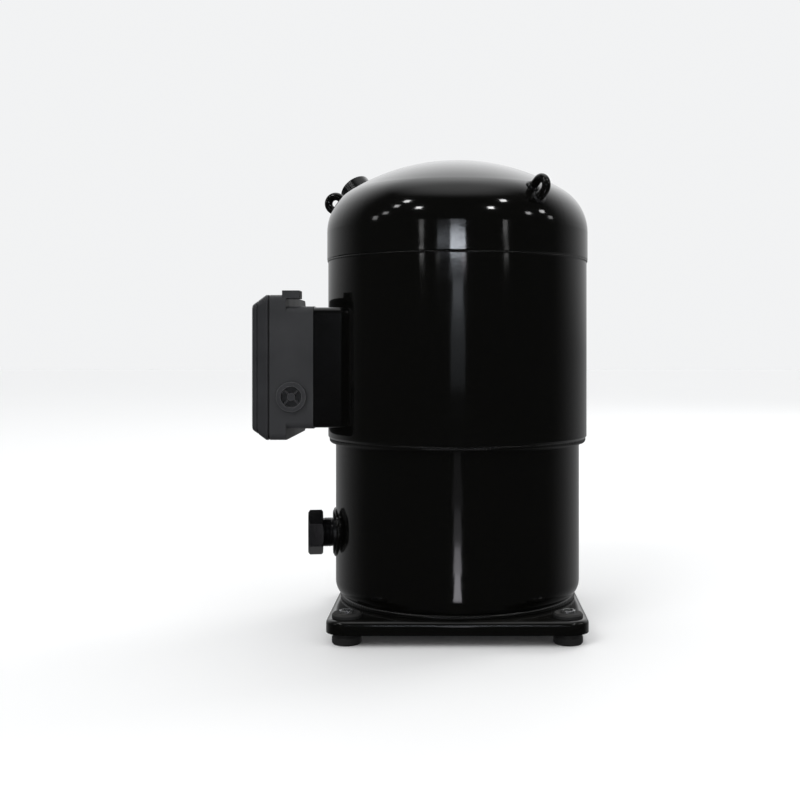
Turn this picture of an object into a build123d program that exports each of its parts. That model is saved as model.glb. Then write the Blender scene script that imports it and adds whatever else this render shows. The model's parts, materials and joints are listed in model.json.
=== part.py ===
"""Hermetic scroll compressor for refrigeration and air conditioning.

The frame: +Z up along the crankshaft, z = 0 on the surface that the rubber mounts stand on, and the
crankshaft's axis at x = y = 0.  The terminal box points along -X.  All sizes are in millimetres.
"""

from build123d import *
from math import cos, radians, sin, sqrt
import os

os.makedirs("parts", exist_ok=True)

# ---------------------------------------------------------------- driving dimensions

GAP = 0.05                       # radial gap of a press fit or a running fit
SHEET_GAP = 0.3                  # clearance between parts that only pass each other

# Base and mounts
HOLE_SPACING = 190.5
PLATE_SIZE = 226.0
PLATE_CORNER_R = 18.0
PLATE_WALL = 4.5
PLATE_UNDERSIDE = 18.0
PLATE_TOP = PLATE_UNDERSIDE + PLATE_WALL
PLATE_RIM_DEPTH = 12.0
PLATE_OPENING_R = 70.0          # drain opening under the shell
GROMMET_R = 12.8
GROMMET_FOOT_R = 11.6
GROMMET_WAIST_R = 10.8
GROMMET_NECK_R = 9.5
SLEEVE_R = 6.35
SLEEVE_BORE_R = 4.3
SLEEVE_TOP = PLATE_TOP + 6.0

# Shell
UPPER_R = 121.5
UPPER_WALL = 4.0
UPPER_BORE_R = UPPER_R - UPPER_WALL
LOWER_R = 114.4
LOWER_WALL = 3.6
LOWER_BORE_R = LOWER_R - LOWER_WALL
CAP_R = 122.5
CAP_WALL = 4.0
CAP_KNUCKLE_R = 45.0
CAP_CROWN_R = 190.0
GIRTH_Z = PLATE_TOP + 151.0      # lower rim of the upper shell
SEAM_Z = PLATE_TOP + 313.0       # rim of the cap's skirt
CAP_TANGENT_Z = PLATE_TOP + 339.5
JOINT_LAP = 12.0                 # overlap of the shells at each welded joint

# Crank mechanism
ORBIT_R = 6.0                    # eccentricity of the crank pin
MAIN_JOURNAL_R = 17.0
LOWER_JOURNAL_R = 13.0
SHAFT_R = 16.0
PIN_R = 11.0
BUSH_R = 15.5                    # outside of the eccentric bush
BEARING_WALL = 2.5
SHAFT_BOTTOM_Z = 50.0
JOURNAL_TOP_Z = 268.0
PIN_TOP_Z = 297.0

# Scroll set
VANE_WALL = 4.5
VANE_HEIGHT = 32.0
VANE_PITCH = ORBIT_R + VANE_WALL + SHEET_GAP
VANE_HALF_TURNS = 6
THRUST_Z = 300.0                 # face that carries the orbiting scroll
ORBITING_PLATE_WALL = 10.0
FLANK_Z = THRUST_Z + GAP + ORBITING_PLATE_WALL
VANE_TOP_Z = FLANK_Z + VANE_HEIGHT
ORBITING_PLATE_R = 84.0
FIXED_SCROLL_R = 111.0
FIXED_PLATE_WALL = 12.0

# Motor
STATOR_BORE_R = 52.7
ROTOR_R = 52.0
STACK_BOTTOM_Z = 110.0
STACK_HEIGHT = 70.0
STACK_TOP_Z = STACK_BOTTOM_Z + STACK_HEIGHT
END_TURN = 24.0
SLOTS = 24
CAGE_BARS = 20

# Fittings
TERMINAL_Z = PLATE_TOP + 214.2
SUCTION_Z = PLATE_TOP + 205.0
SIGHT_Z = PLATE_TOP + 60.5
SIGHT_TURN = 8.0                 # degrees that the sight glass points forward of -X
DISCHARGE_TURN = 144.0           # direction of the discharge stub from +X
DISCHARGE_RISE = 47.0            # and its slope above the horizontal
LIFT_RING_TURNS = {"left": 170.0, "front": -53.0}
CUT_START_R = 100.0              # holes through the shell are cut from this radius outwards
STUB_R = 14.0
SUCTION_NECK_R = 21.0
SUCTION_TUBE_BORE_R = 17.55
DISCHARGE_TUBE_BORE_R = 11.2
SIGHT_NECK_R = 13.0
CUP_R = 31.0                     # outside of the terminal cup

# Terminal box
BOX_WIDTH = 130.0
BOX_HEIGHT = 109.2
BOX_BACK_X = -128.2
BOX_LIP_X = -152.6
BOX_MOUTH_X = -167.0
COVER_FACE_X = -183.0
BOX_WALL = 3.0
LIP_HEIGHT = 10.2
CONDUIT_R = 11.1                 # entry for a half-inch conduit fitting
CONDUIT_X = -147.5
CONDUIT_Z = PLATE_TOP + 188.1

# ---------------------------------------------------------------- planes that fittings stand on

TERMINAL_PLANE = Plane(origin=(0, 0, TERMINAL_Z), x_dir=(0, -1, 0), z_dir=(-1, 0, 0))
SUCTION_PLANE = Plane(origin=(0, 0, SUCTION_Z), x_dir=(1, 0, 0), z_dir=(0, 1, 0))
SIGHT_PLANE = Plane(
    origin=(0, 0, SIGHT_Z),
    x_dir=(sin(radians(SIGHT_TURN)), -cos(radians(SIGHT_TURN)), 0),
    z_dir=(-cos(radians(SIGHT_TURN)), -sin(radians(SIGHT_TURN)), 0),
)


def radial_point(turn, radius, height):
    """The point at a distance from the axis, in the direction `turn` degrees from +X."""
    return (radius * cos(radians(turn)), radius * sin(radians(turn)), height)


def radial_plane(turn):
    """The upright plane through the axis whose x direction points `turn` degrees from +X."""
    outward = radial_point(turn, 1.0, 0.0)
    return Plane(origin=(0, 0, 0), x_dir=outward, z_dir=(outward[1], -outward[0], 0))


# The discharge stub's axis runs through the centre of the knuckle, so it leaves the dome squarely.
stub_flat = radial_point(DISCHARGE_TURN, cos(radians(DISCHARGE_RISE)), 0.0)
DISCHARGE_PLANE = Plane(
    origin=radial_point(DISCHARGE_TURN, CAP_R - CAP_KNUCKLE_R, CAP_TANGENT_Z),
    x_dir=radial_point(DISCHARGE_TURN + 90.0, 1.0, 0.0),
    z_dir=(stub_flat[0], stub_flat[1], sin(radians(DISCHARGE_RISE))),
)

# ---------------------------------------------------------------- shared shapes

UPWARD = (Align.CENTER, Align.CENTER, Align.MIN)


def bar(radius, low, high, plane=Plane.XY, mode=Mode.ADD):
    """A round bar along a plane's normal, between two distances from the plane."""
    with Locations(plane.offset(low)):
        Cylinder(radius, high - low, align=UPWARD, mode=mode)


def block(low, high, mode=Mode.ADD):
    """A block between its lowest and highest corners."""
    with Locations(low):
        Box(
            high[0] - low[0],
            high[1] - low[1],
            high[2] - low[2],
            align=(Align.MIN, Align.MIN, Align.MIN),
            mode=mode,
        )


def turned(*profile):
    """A solid turned about the Z axis from a closed profile of (radius, height) points."""
    with BuildPart() as blank:
        with BuildSketch(Plane.XZ):
            with BuildLine():
                Polyline(*profile, close=True)
            make_face()
        revolve(axis=Axis.Z)
    return blank.part


def turned_on(plane, *profile):
    """A turned solid stood on a plane, its axis along the plane's normal."""
    return plane.location * turned(*profile)


def head_shape(radius, knuckle, crown):
    """Where the knuckle of a dished head meets its crown, and how high the head stands."""
    knuckle_centre = radius - knuckle
    crown_drop = sqrt((crown - knuckle) ** 2 - knuckle_centre**2)
    joint_radius = knuckle_centre * crown / (crown - knuckle)
    joint_height = sqrt(crown**2 - joint_radius**2) - crown_drop
    return joint_radius, joint_height, crown - crown_drop


def dome(radius, knuckle, crown, low):
    """A solid with a dished head on a straight skirt that starts at height `low`."""
    joint_radius, joint_height, head_height = head_shape(radius, knuckle, crown)
    with BuildPart() as blank:
        with BuildSketch(Plane.XZ):
            with BuildLine():
                skirt = Line((radius, low), (radius, CAP_TANGENT_Z))
                joint = (joint_radius, CAP_TANGENT_Z + joint_height)
                knuckle_arc = TangentArc(skirt @ 1, joint, tangent=(0, 1))
                apex = (0, CAP_TANGENT_Z + head_height)
                TangentArc(joint, apex, tangent=knuckle_arc % 1)
                Polyline(apex, (0, low), (radius, low))
            make_face()
        revolve(axis=Axis.Z)
    return blank.part


cap_outside = dome(CAP_R, CAP_KNUCKLE_R, CAP_CROWN_R, SEAM_Z)
cap_inside = dome(
    CAP_R - CAP_WALL,
    CAP_KNUCKLE_R - CAP_WALL,
    CAP_CROWN_R - CAP_WALL,
    SEAM_Z,
)

# ---------------------------------------------------------------- base plate and mounts

with BuildPart() as base_plate:
    with BuildSketch(Plane.XY.offset(PLATE_TOP - PLATE_RIM_DEPTH)):
        RectangleRounded(PLATE_SIZE, PLATE_SIZE, PLATE_CORNER_R)
    extrude(amount=PLATE_RIM_DEPTH)
    rim_edges = base_plate.faces().sort_by(Axis.Z)[-1].edges()
    fillet(rim_edges, radius=PLATE_WALL)
    with BuildSketch(Plane.XY.offset(PLATE_TOP - PLATE_RIM_DEPTH)):
        inner_size = PLATE_SIZE - 2 * PLATE_WALL
        RectangleRounded(inner_size, inner_size, PLATE_CORNER_R - PLATE_WALL)
    extrude(amount=PLATE_RIM_DEPTH - PLATE_WALL, mode=Mode.SUBTRACT)
    with Locations((0, 0, PLATE_TOP)):
        with GridLocations(HOLE_SPACING, HOLE_SPACING, 2, 2):
            Hole(GROMMET_NECK_R + GAP, depth=2 * PLATE_WALL)
    bar(PLATE_OPENING_R, 0.0, PLATE_TOP, mode=Mode.SUBTRACT)
base_plate.part.label = "base_plate"
export_step(base_plate.part, "parts/base_plate.step")

GROMMET_LIP = 4.0
grommet_shape = turned(
    (SLEEVE_R + GAP, 0.0),
    (GROMMET_FOOT_R, 0.0),
    (GROMMET_R, 1.5),
    (GROMMET_R, 6.0),
    (GROMMET_WAIST_R, 8.0),
    (GROMMET_WAIST_R, 10.0),
    (GROMMET_R, 12.0),
    (GROMMET_R, PLATE_UNDERSIDE),
    (GROMMET_NECK_R, PLATE_UNDERSIDE),
    (GROMMET_NECK_R, PLATE_TOP),
    (GROMMET_R, PLATE_TOP),
    (GROMMET_R, PLATE_TOP + GROMMET_LIP - 1.5),
    (GROMMET_FOOT_R, PLATE_TOP + GROMMET_LIP),
    (SLEEVE_R + GAP, PLATE_TOP + GROMMET_LIP),
)
with BuildPart() as mounting_grommets:
    with GridLocations(HOLE_SPACING, HOLE_SPACING, 2, 2):
        add(grommet_shape)
mounting_grommets.part.label = "mounting_grommets"
export_step(mounting_grommets.part, "parts/mounting_grommets.step")

with BuildPart() as mounting_sleeves:
    with GridLocations(HOLE_SPACING, HOLE_SPACING, 2, 2):
        Cylinder(SLEEVE_R, SLEEVE_TOP, align=UPWARD)
        Cylinder(SLEEVE_BORE_R, SLEEVE_TOP, align=UPWARD, mode=Mode.SUBTRACT)
mounting_sleeves.part.label = "mounting_sleeves"
export_step(mounting_sleeves.part, "parts/mounting_sleeves.step")

# ---------------------------------------------------------------- shell

BOTTOM_KNUCKLE_R = 16.0
FLARE_R = UPPER_BORE_R - GAP
FLARE_Z = GIRTH_Z - 8.0
FLARE_RISE = 5.0

with BuildPart() as lower_shell:
    with BuildSketch(Plane.XZ):
        with BuildLine():
            floor = Line((0, PLATE_TOP), (LOWER_R - BOTTOM_KNUCKLE_R, PLATE_TOP))
            corner = TangentArc(
                floor @ 1,
                (LOWER_R, PLATE_TOP + BOTTOM_KNUCKLE_R),
                tangent=(1, 0),
            )
            Polyline(
                corner @ 1,
                (LOWER_R, FLARE_Z),
                (FLARE_R, FLARE_Z + FLARE_RISE),
                (FLARE_R, GIRTH_Z + JOINT_LAP),
                (FLARE_R - LOWER_WALL, GIRTH_Z + JOINT_LAP),
                (FLARE_R - LOWER_WALL, FLARE_Z + FLARE_RISE),
                (LOWER_BORE_R, FLARE_Z),
                (LOWER_BORE_R, PLATE_TOP + BOTTOM_KNUCKLE_R),
            )
            inner_corner = TangentArc(
                (LOWER_BORE_R, PLATE_TOP + BOTTOM_KNUCKLE_R),
                (LOWER_R - BOTTOM_KNUCKLE_R, PLATE_TOP + LOWER_WALL),
                tangent=(0, -1),
            )
            Polyline(inner_corner @ 1, (0, PLATE_TOP + LOWER_WALL), (0, PLATE_TOP))
        make_face()
    revolve(axis=Axis.Z)
    bar(SIGHT_NECK_R + GAP, CUT_START_R, LOWER_R + 5.0, plane=SIGHT_PLANE, mode=Mode.SUBTRACT)
lower_shell.part.label = "lower_shell"
export_step(lower_shell.part, "parts/lower_shell.step")

BEAD_DROP = 6.5                  # height of the weld bead that closes the girth joint
NECK_R = CAP_R - CAP_WALL - GAP
NECK_TOP_Z = SEAM_Z + JOINT_LAP

with BuildPart() as upper_shell:
    add(
        turned(
            (FLARE_R + GAP, GIRTH_Z),
            (FLARE_R + GAP, GIRTH_Z - 3.0),
            (LOWER_R + 1.4, GIRTH_Z - BEAD_DROP),
            (LOWER_R + 2.6, GIRTH_Z - BEAD_DROP),
            (UPPER_R - 2.0, GIRTH_Z - 4.0),
            (UPPER_R, GIRTH_Z - 1.0),
            (UPPER_R, SEAM_Z - 1.0),
            (NECK_R, SEAM_Z + 2.0),
            (NECK_R, NECK_TOP_Z),
            (NECK_R - UPPER_WALL, NECK_TOP_Z),
            (NECK_R - UPPER_WALL, SEAM_Z - 2.0),
            (UPPER_BORE_R, SEAM_Z - 6.0),
        )
    )
    bar(CUP_R + GAP, CUT_START_R, UPPER_R + 5.0, plane=TERMINAL_PLANE, mode=Mode.SUBTRACT)
    bar(SUCTION_NECK_R + GAP, CUT_START_R, UPPER_R + 5.0, plane=SUCTION_PLANE, mode=Mode.SUBTRACT)
upper_shell.part.label = "upper_shell"
export_step(upper_shell.part, "parts/upper_shell.step")

RIM_BEVEL = 2.2                  # bevel of the cap's rim, for the weld

with BuildPart() as top_cap:
    add(cap_outside)
    add(cap_inside, mode=Mode.SUBTRACT)
    bar(CAP_R - 1.8, SEAM_Z, SEAM_Z + RIM_BEVEL, mode=Mode.SUBTRACT)
    chamfer_ring = turned(
        (CAP_R - 1.2, SEAM_Z),
        (CAP_R + 1.0, SEAM_Z),
        (CAP_R + 1.0, SEAM_Z + RIM_BEVEL),
    )
    add(chamfer_ring, mode=Mode.SUBTRACT)
    bar(
        STUB_R + GAP,
        CAP_KNUCKLE_R - 10.0,
        CAP_KNUCKLE_R + 10.0,
        plane=DISCHARGE_PLANE,
        mode=Mode.SUBTRACT,
    )
top_cap.part.label = "top_cap"
export_step(top_cap.part, "parts/top_cap.step")

# ---------------------------------------------------------------- lifting rings

RING_ROD_R = 3.8
RING_LOOP_R = 6.9
RING_CENTRE_R = 119.5
RING_CENTRE_Z = PLATE_TOP + 371.3
RING_SLOPE = 35.0                # slope of the ring's two legs
RING_LEG = 22.0


def lifting_ring(turn):
    """A bent rod whose loop stands out of the dome's shoulder and whose legs end on the dome."""
    out = (cos(radians(RING_SLOPE)), sin(radians(RING_SLOPE)))
    side = (-out[1], out[0])

    def spot(along, across):
        return (
            RING_CENTRE_R + along * out[0] + across * side[0],
            RING_CENTRE_Z + along * out[1] + across * side[1],
        )

    with BuildPart() as ring:
        with BuildLine(radial_plane(turn)) as path:
            Line(spot(-RING_LEG, -RING_LOOP_R), spot(0, -RING_LOOP_R))
            ThreePointArc(spot(0, -RING_LOOP_R), spot(RING_LOOP_R, 0), spot(0, RING_LOOP_R))
            Line(spot(0, RING_LOOP_R), spot(-RING_LEG, RING_LOOP_R))
        with BuildSketch(Plane(origin=path.line @ 0, z_dir=path.line % 0)):
            Circle(RING_ROD_R)
        sweep()
        add(cap_outside, mode=Mode.SUBTRACT)
    return ring


lift_ring_left = lifting_ring(LIFT_RING_TURNS["left"])
lift_ring_left.part.label = "lift_ring_left"
export_step(lift_ring_left.part, "parts/lift_ring_left.step")

lift_ring_front = lifting_ring(LIFT_RING_TURNS["front"])
lift_ring_front.part.label = "lift_ring_front"
export_step(lift_ring_front.part, "parts/lift_ring_front.step")

# ---------------------------------------------------------------- pipe fittings

STUB_COLLAR_R = 16.0
STUB_THROAT_R = 8.5
STUB_END = CAP_KNUCKLE_R + 31.0
DISCHARGE_SOCKET_DEPTH = 16.0

with BuildPart() as discharge_fitting:
    bar(STUB_COLLAR_R, CAP_KNUCKLE_R - 6.0, STUB_END, plane=DISCHARGE_PLANE)
    add(cap_outside, mode=Mode.SUBTRACT)
    bar(STUB_R, CAP_KNUCKLE_R - 7.0, CAP_KNUCKLE_R + 6.0, plane=DISCHARGE_PLANE)
    bar(STUB_THROAT_R, CAP_KNUCKLE_R - 8.0, STUB_END, plane=DISCHARGE_PLANE, mode=Mode.SUBTRACT)
    bar(
        DISCHARGE_TUBE_BORE_R,
        STUB_END - DISCHARGE_SOCKET_DEPTH,
        STUB_END,
        plane=DISCHARGE_PLANE,
        mode=Mode.SUBTRACT,
    )
    chamfer(discharge_fitting.edges().filter_by(GeomType.CIRCLE).sort_by(Axis.Z)[-1], length=1.0)
discharge_fitting.part.label = "discharge_fitting"
export_step(discharge_fitting.part, "parts/discharge_fitting.step")

SUCTION_END = UPPER_R + 34.0
SUCTION_BOSS_R = 26.0
SUCTION_THROAT_R = 16.0
SUCTION_SOCKET_DEPTH = 22.0

with BuildPart() as suction_fitting:
    bar(SUCTION_BOSS_R, UPPER_R - 6.0, UPPER_R + 4.0, plane=SUCTION_PLANE)
    bar(UPPER_R + GAP, SUCTION_Z - 40.0, SUCTION_Z + 40.0, mode=Mode.SUBTRACT)
    bar(SUCTION_NECK_R, UPPER_BORE_R - 4.0, SUCTION_END, plane=SUCTION_PLANE)
    bar(SUCTION_THROAT_R, UPPER_BORE_R - 5.0, SUCTION_END, plane=SUCTION_PLANE, mode=Mode.SUBTRACT)
    bar(
        SUCTION_TUBE_BORE_R,
        SUCTION_END - SUCTION_SOCKET_DEPTH,
        SUCTION_END,
        plane=SUCTION_PLANE,
        mode=Mode.SUBTRACT,
    )
suction_fitting.part.label = "suction_fitting"
export_step(suction_fitting.part, "parts/suction_fitting.step")

BAFFLE_R = 104.0
BAFFLE_WALL = 1.5
BAFFLE_WIDTH = 84.0
BAFFLE_HEIGHT = 70.0

with BuildPart() as suction_baffle:
    block(
        (-BAFFLE_WIDTH / 2, 60.0, SUCTION_Z - BAFFLE_HEIGHT / 2),
        (BAFFLE_WIDTH / 2, UPPER_R, SUCTION_Z + BAFFLE_HEIGHT / 2),
    )
    bar(UPPER_BORE_R - GAP, 0.0, SEAM_Z, mode=Mode.INTERSECT)
    block(
        (-BAFFLE_WIDTH / 2 + BAFFLE_WALL, BAFFLE_R - 8.0, SUCTION_Z - BAFFLE_HEIGHT),
        (BAFFLE_WIDTH / 2 - BAFFLE_WALL, UPPER_R, SUCTION_Z + BAFFLE_HEIGHT),
        mode=Mode.SUBTRACT,
    )
    block(
        (-BAFFLE_WIDTH, 0.0, SUCTION_Z - BAFFLE_HEIGHT),
        (BAFFLE_WIDTH, BAFFLE_R - 8.0 - BAFFLE_WALL, SUCTION_Z + BAFFLE_HEIGHT),
        mode=Mode.SUBTRACT,
    )
suction_baffle.part.label = "suction_baffle"
export_step(suction_baffle.part, "parts/suction_baffle.step")

# ---------------------------------------------------------------- sight glass

SIGHT_BOSS_R = 20.0
SIGHT_BORE_R = 9.0
SIGHT_SEAT = 130.0               # distances from the crankshaft along the glass's axis
SIGHT_GLASS_BACK = SIGHT_SEAT + 1.2
SIGHT_GLASS_FRONT = SIGHT_GLASS_BACK + 5.5
SIGHT_NUT_START = 126.3
SIGHT_NUT_END = 140.0
SIGHT_HEX_FLATS = 36.0

with BuildPart() as sight_glass_adaptor:
    bar(SIGHT_BOSS_R, LOWER_R - 4.0, LOWER_R + 2.6, plane=SIGHT_PLANE)
    bar(LOWER_R + GAP, SIGHT_Z - 30.0, SIGHT_Z + 30.0, mode=Mode.SUBTRACT)
    bar(SIGHT_NECK_R, LOWER_BORE_R + SHEET_GAP, SIGHT_SEAT, plane=SIGHT_PLANE)
    bar(SIGHT_BORE_R, LOWER_BORE_R - 2.0, SIGHT_SEAT + 1.0, plane=SIGHT_PLANE, mode=Mode.SUBTRACT)
sight_glass_adaptor.part.label = "sight_glass_adaptor"
export_step(sight_glass_adaptor.part, "parts/sight_glass_adaptor.step")

with BuildPart() as sight_glass_gasket:
    bar(SIGHT_NECK_R, SIGHT_SEAT, SIGHT_GLASS_BACK, plane=SIGHT_PLANE)
    bar(SIGHT_BORE_R + 0.5, SIGHT_SEAT, SIGHT_GLASS_BACK, plane=SIGHT_PLANE, mode=Mode.SUBTRACT)
sight_glass_gasket.part.label = "sight_glass_gasket"
export_step(sight_glass_gasket.part, "parts/sight_glass_gasket.step")

with BuildPart() as sight_glass_lens:
    bar(SIGHT_NECK_R, SIGHT_GLASS_BACK, SIGHT_GLASS_FRONT, plane=SIGHT_PLANE)
sight_glass_lens.part.label = "sight_glass_lens"
export_step(sight_glass_lens.part, "parts/sight_glass_lens.step")

HEX_CORNER_R = SIGHT_HEX_FLATS / sqrt(3)

with BuildPart() as sight_glass_nut:
    with BuildSketch(SIGHT_PLANE.offset(SIGHT_NUT_START)):
        RegularPolygon(HEX_CORNER_R, 6, rotation=30)
    extrude(amount=SIGHT_NUT_END - SIGHT_NUT_START)
    rounded_blank = turned_on(
        SIGHT_PLANE,
        (0.0, SIGHT_NUT_START),
        (HEX_CORNER_R - 1.8, SIGHT_NUT_START),
        (HEX_CORNER_R, SIGHT_NUT_START + 1.4),
        (HEX_CORNER_R, SIGHT_NUT_END - 1.8),
        (HEX_CORNER_R - 2.6, SIGHT_NUT_END),
        (0.0, SIGHT_NUT_END),
    )
    add(rounded_blank, mode=Mode.INTERSECT)
    bar(
        SIGHT_NECK_R + GAP,
        SIGHT_NUT_START,
        SIGHT_GLASS_FRONT + GAP,
        plane=SIGHT_PLANE,
        mode=Mode.SUBTRACT,
    )
    bar(SIGHT_BORE_R + 1.0, SIGHT_NUT_START, SIGHT_NUT_END, plane=SIGHT_PLANE, mode=Mode.SUBTRACT)
sight_glass_nut.part.label = "sight_glass_nut"
export_step(sight_glass_nut.part, "parts/sight_glass_nut.step")

# ---------------------------------------------------------------- electrical terminals

PIN_CIRCLE_R = 11.0
TERMINAL_PIN_R = 3.2
GLASS_BEAD_R = 6.0
CUP_FLOOR = 110.0                # distance of the cup's inner face from the crankshaft
CUP_LIP = 124.0
CUP_WALL = 3.0
CUP_FLOOR_WALL = 4.0
PIN_INNER_LENGTH = 16.0          # how far the pins stand out inside the shell

with BuildPart() as terminal_cup:
    bar(CUP_R, CUP_FLOOR, CUP_LIP, plane=TERMINAL_PLANE)
    bar(
        CUP_R - CUP_WALL,
        CUP_FLOOR + CUP_FLOOR_WALL,
        CUP_LIP,
        plane=TERMINAL_PLANE,
        mode=Mode.SUBTRACT,
    )
    with Locations(TERMINAL_PLANE.offset(CUP_FLOOR)):
        with PolarLocations(PIN_CIRCLE_R, 3, start_angle=90):
            Cylinder(GLASS_BEAD_R + GAP, CUP_FLOOR_WALL, align=UPWARD, mode=Mode.SUBTRACT)
terminal_cup.part.label = "terminal_cup"
export_step(terminal_cup.part, "parts/terminal_cup.step")

with BuildPart() as terminal_glass_beads:
    with Locations(TERMINAL_PLANE.offset(CUP_FLOOR - 1.0)):
        with PolarLocations(PIN_CIRCLE_R, 3, start_angle=90):
            Cylinder(GLASS_BEAD_R, CUP_FLOOR_WALL + 2.0, align=UPWARD)
            Cylinder(TERMINAL_PIN_R + GAP, CUP_FLOOR_WALL + 2.0, align=UPWARD, mode=Mode.SUBTRACT)
terminal_glass_beads.part.label = "terminal_glass_beads"
export_step(terminal_glass_beads.part, "parts/terminal_glass_beads.step")

TERMINAL_PIN_LENGTH = 46.0

with BuildPart() as terminal_pins:
    with Locations(TERMINAL_PLANE.offset(CUP_FLOOR - PIN_INNER_LENGTH)):
        with PolarLocations(PIN_CIRCLE_R, 3, start_angle=90):
            Cylinder(TERMINAL_PIN_R, TERMINAL_PIN_LENGTH, align=UPWARD)
terminal_pins.part.label = "terminal_pins"
export_step(terminal_pins.part, "parts/terminal_pins.step")

BLOCK_BACK = 126.0
BLOCK_FRONT = 136.0
POST_R = 5.2                     # post in the middle of the block that takes the cover's screw
POST_END = 150.0
COVER_SCREW_R = 3.0
COVER_SCREW_START = 140.0
BARRIER_HEIGHT = 8.0             # walls that keep the three terminals apart

with BuildPart() as terminal_block:
    with BuildSketch(TERMINAL_PLANE.offset(BLOCK_BACK)):
        RectangleRounded(56, 50, 8)
    extrude(amount=BLOCK_FRONT - BLOCK_BACK)
    with Locations(TERMINAL_PLANE.offset(BLOCK_BACK)):
        with PolarLocations(PIN_CIRCLE_R, 3, start_angle=90):
            Cylinder(TERMINAL_PIN_R + GAP, 12.0, align=UPWARD, mode=Mode.SUBTRACT)
    with BuildSketch(TERMINAL_PLANE.offset(BLOCK_FRONT)):
        with PolarLocations(13.0, 3, start_angle=30):
            SlotOverall(18, 3)
    extrude(amount=BARRIER_HEIGHT)
    bar(POST_R, BLOCK_FRONT, POST_END, plane=TERMINAL_PLANE)
    bar(
        COVER_SCREW_R + GAP,
        COVER_SCREW_START - 0.5,
        POST_END,
        plane=TERMINAL_PLANE,
        mode=Mode.SUBTRACT,
    )
terminal_block.part.label = "terminal_block"
export_step(terminal_block.part, "parts/terminal_block.step")

TERMINAL_NUT_R = 5.0
TERMINAL_NUT_HEIGHT = 3.2

with BuildPart() as terminal_nuts:
    with BuildSketch(TERMINAL_PLANE.offset(BLOCK_FRONT)):
        with PolarLocations(PIN_CIRCLE_R, 3, start_angle=90):
            RegularPolygon(TERMINAL_NUT_R, 6)
            Circle(TERMINAL_PIN_R + GAP, mode=Mode.SUBTRACT)
    extrude(amount=TERMINAL_NUT_HEIGHT)
terminal_nuts.part.label = "terminal_nuts"
export_step(terminal_nuts.part, "parts/terminal_nuts.step")

# ---------------------------------------------------------------- terminal box

BOX_LOW_Z = TERMINAL_Z - BOX_HEIGHT / 2
BOX_HIGH_Z = TERMINAL_Z + BOX_HEIGHT / 2
BOX_CORNER_R = 6.0
SADDLE_WALL = 2.5
SADDLE_INSET = 0.8
FENCE_OPENING = 76.0             # opening through saddle and box for the terminals
BOX_SCREW_SPREAD = (104.0, 84.0)
BOX_SCREW_R = 2.5


def rounded_slab(width, height, corner, back, front):
    """A rounded slab centred on the terminal axis, between two distances from the crankshaft."""
    with BuildPart() as slab:
        with BuildSketch(TERMINAL_PLANE.offset(back)):
            RectangleRounded(width, height, corner)
        extrude(amount=front - back)
    return slab.part


def box_slab(width, height, corner, back, front, mode=Mode.ADD):
    """Adds or cuts a rounded slab."""
    add(rounded_slab(width, height, corner, back, front), mode=mode)


saddle_width = BOX_WIDTH - 2 * SADDLE_INSET
saddle_height = BOX_HEIGHT - 2 * SADDLE_INSET

with BuildPart() as terminal_saddle:
    box_slab(saddle_width, saddle_height, BOX_CORNER_R, 80.0, -BOX_BACK_X)
    box_slab(
        saddle_width - 2 * SADDLE_WALL,
        saddle_height - 2 * SADDLE_WALL,
        BOX_CORNER_R - SADDLE_WALL,
        80.0,
        -BOX_BACK_X - SADDLE_WALL,
        mode=Mode.SUBTRACT,
    )
    box_slab(FENCE_OPENING, FENCE_OPENING, 10.0, 80.0, 140.0, mode=Mode.SUBTRACT)
    bar(UPPER_R + GAP, 0.0, SEAM_Z + 50.0, mode=Mode.SUBTRACT)
    with Locations(TERMINAL_PLANE.offset(120.0)):
        with GridLocations(BOX_SCREW_SPREAD[0], BOX_SCREW_SPREAD[1], 2, 2):
            Cylinder(BOX_SCREW_R + GAP, 20.0, align=UPWARD, mode=Mode.SUBTRACT)
terminal_saddle.part.label = "terminal_saddle"
export_step(terminal_saddle.part, "parts/terminal_saddle.step")

lip_height = BOX_HEIGHT + 2 * LIP_HEIGHT
side_entry_front = Plane(origin=(CONDUIT_X, 0, CONDUIT_Z), x_dir=(1, 0, 0), z_dir=(0, -1, 0))
side_entry_rear = Plane(origin=(CONDUIT_X, 0, CONDUIT_Z), x_dir=(-1, 0, 0), z_dir=(0, 1, 0))
LUG_DEPTH = 7.0                  # the eyelet that hangs over the body from the upper lip
LUG_WIDTH = 18.0
LUG_BACK_X = -140.7
LUG_FRONT_X = -156.0
LUG_SIDE_Y = -64.0
LUG_HOLE_R = 2.5
lug_low = BOX_HIGH_Z + LIP_HEIGHT - 3.2
lug_high = lug_low + LUG_DEPTH
ANCHOR_WIDTH = 8.0               # two blocks on the box's floor that locate it on the saddle
ANCHOR_DEPTH = 5.5
ANCHOR_BACK_X = BOX_BACK_X - BOX_WALL
ANCHOR_FRONT_X = ANCHOR_BACK_X - 34.0

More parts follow.
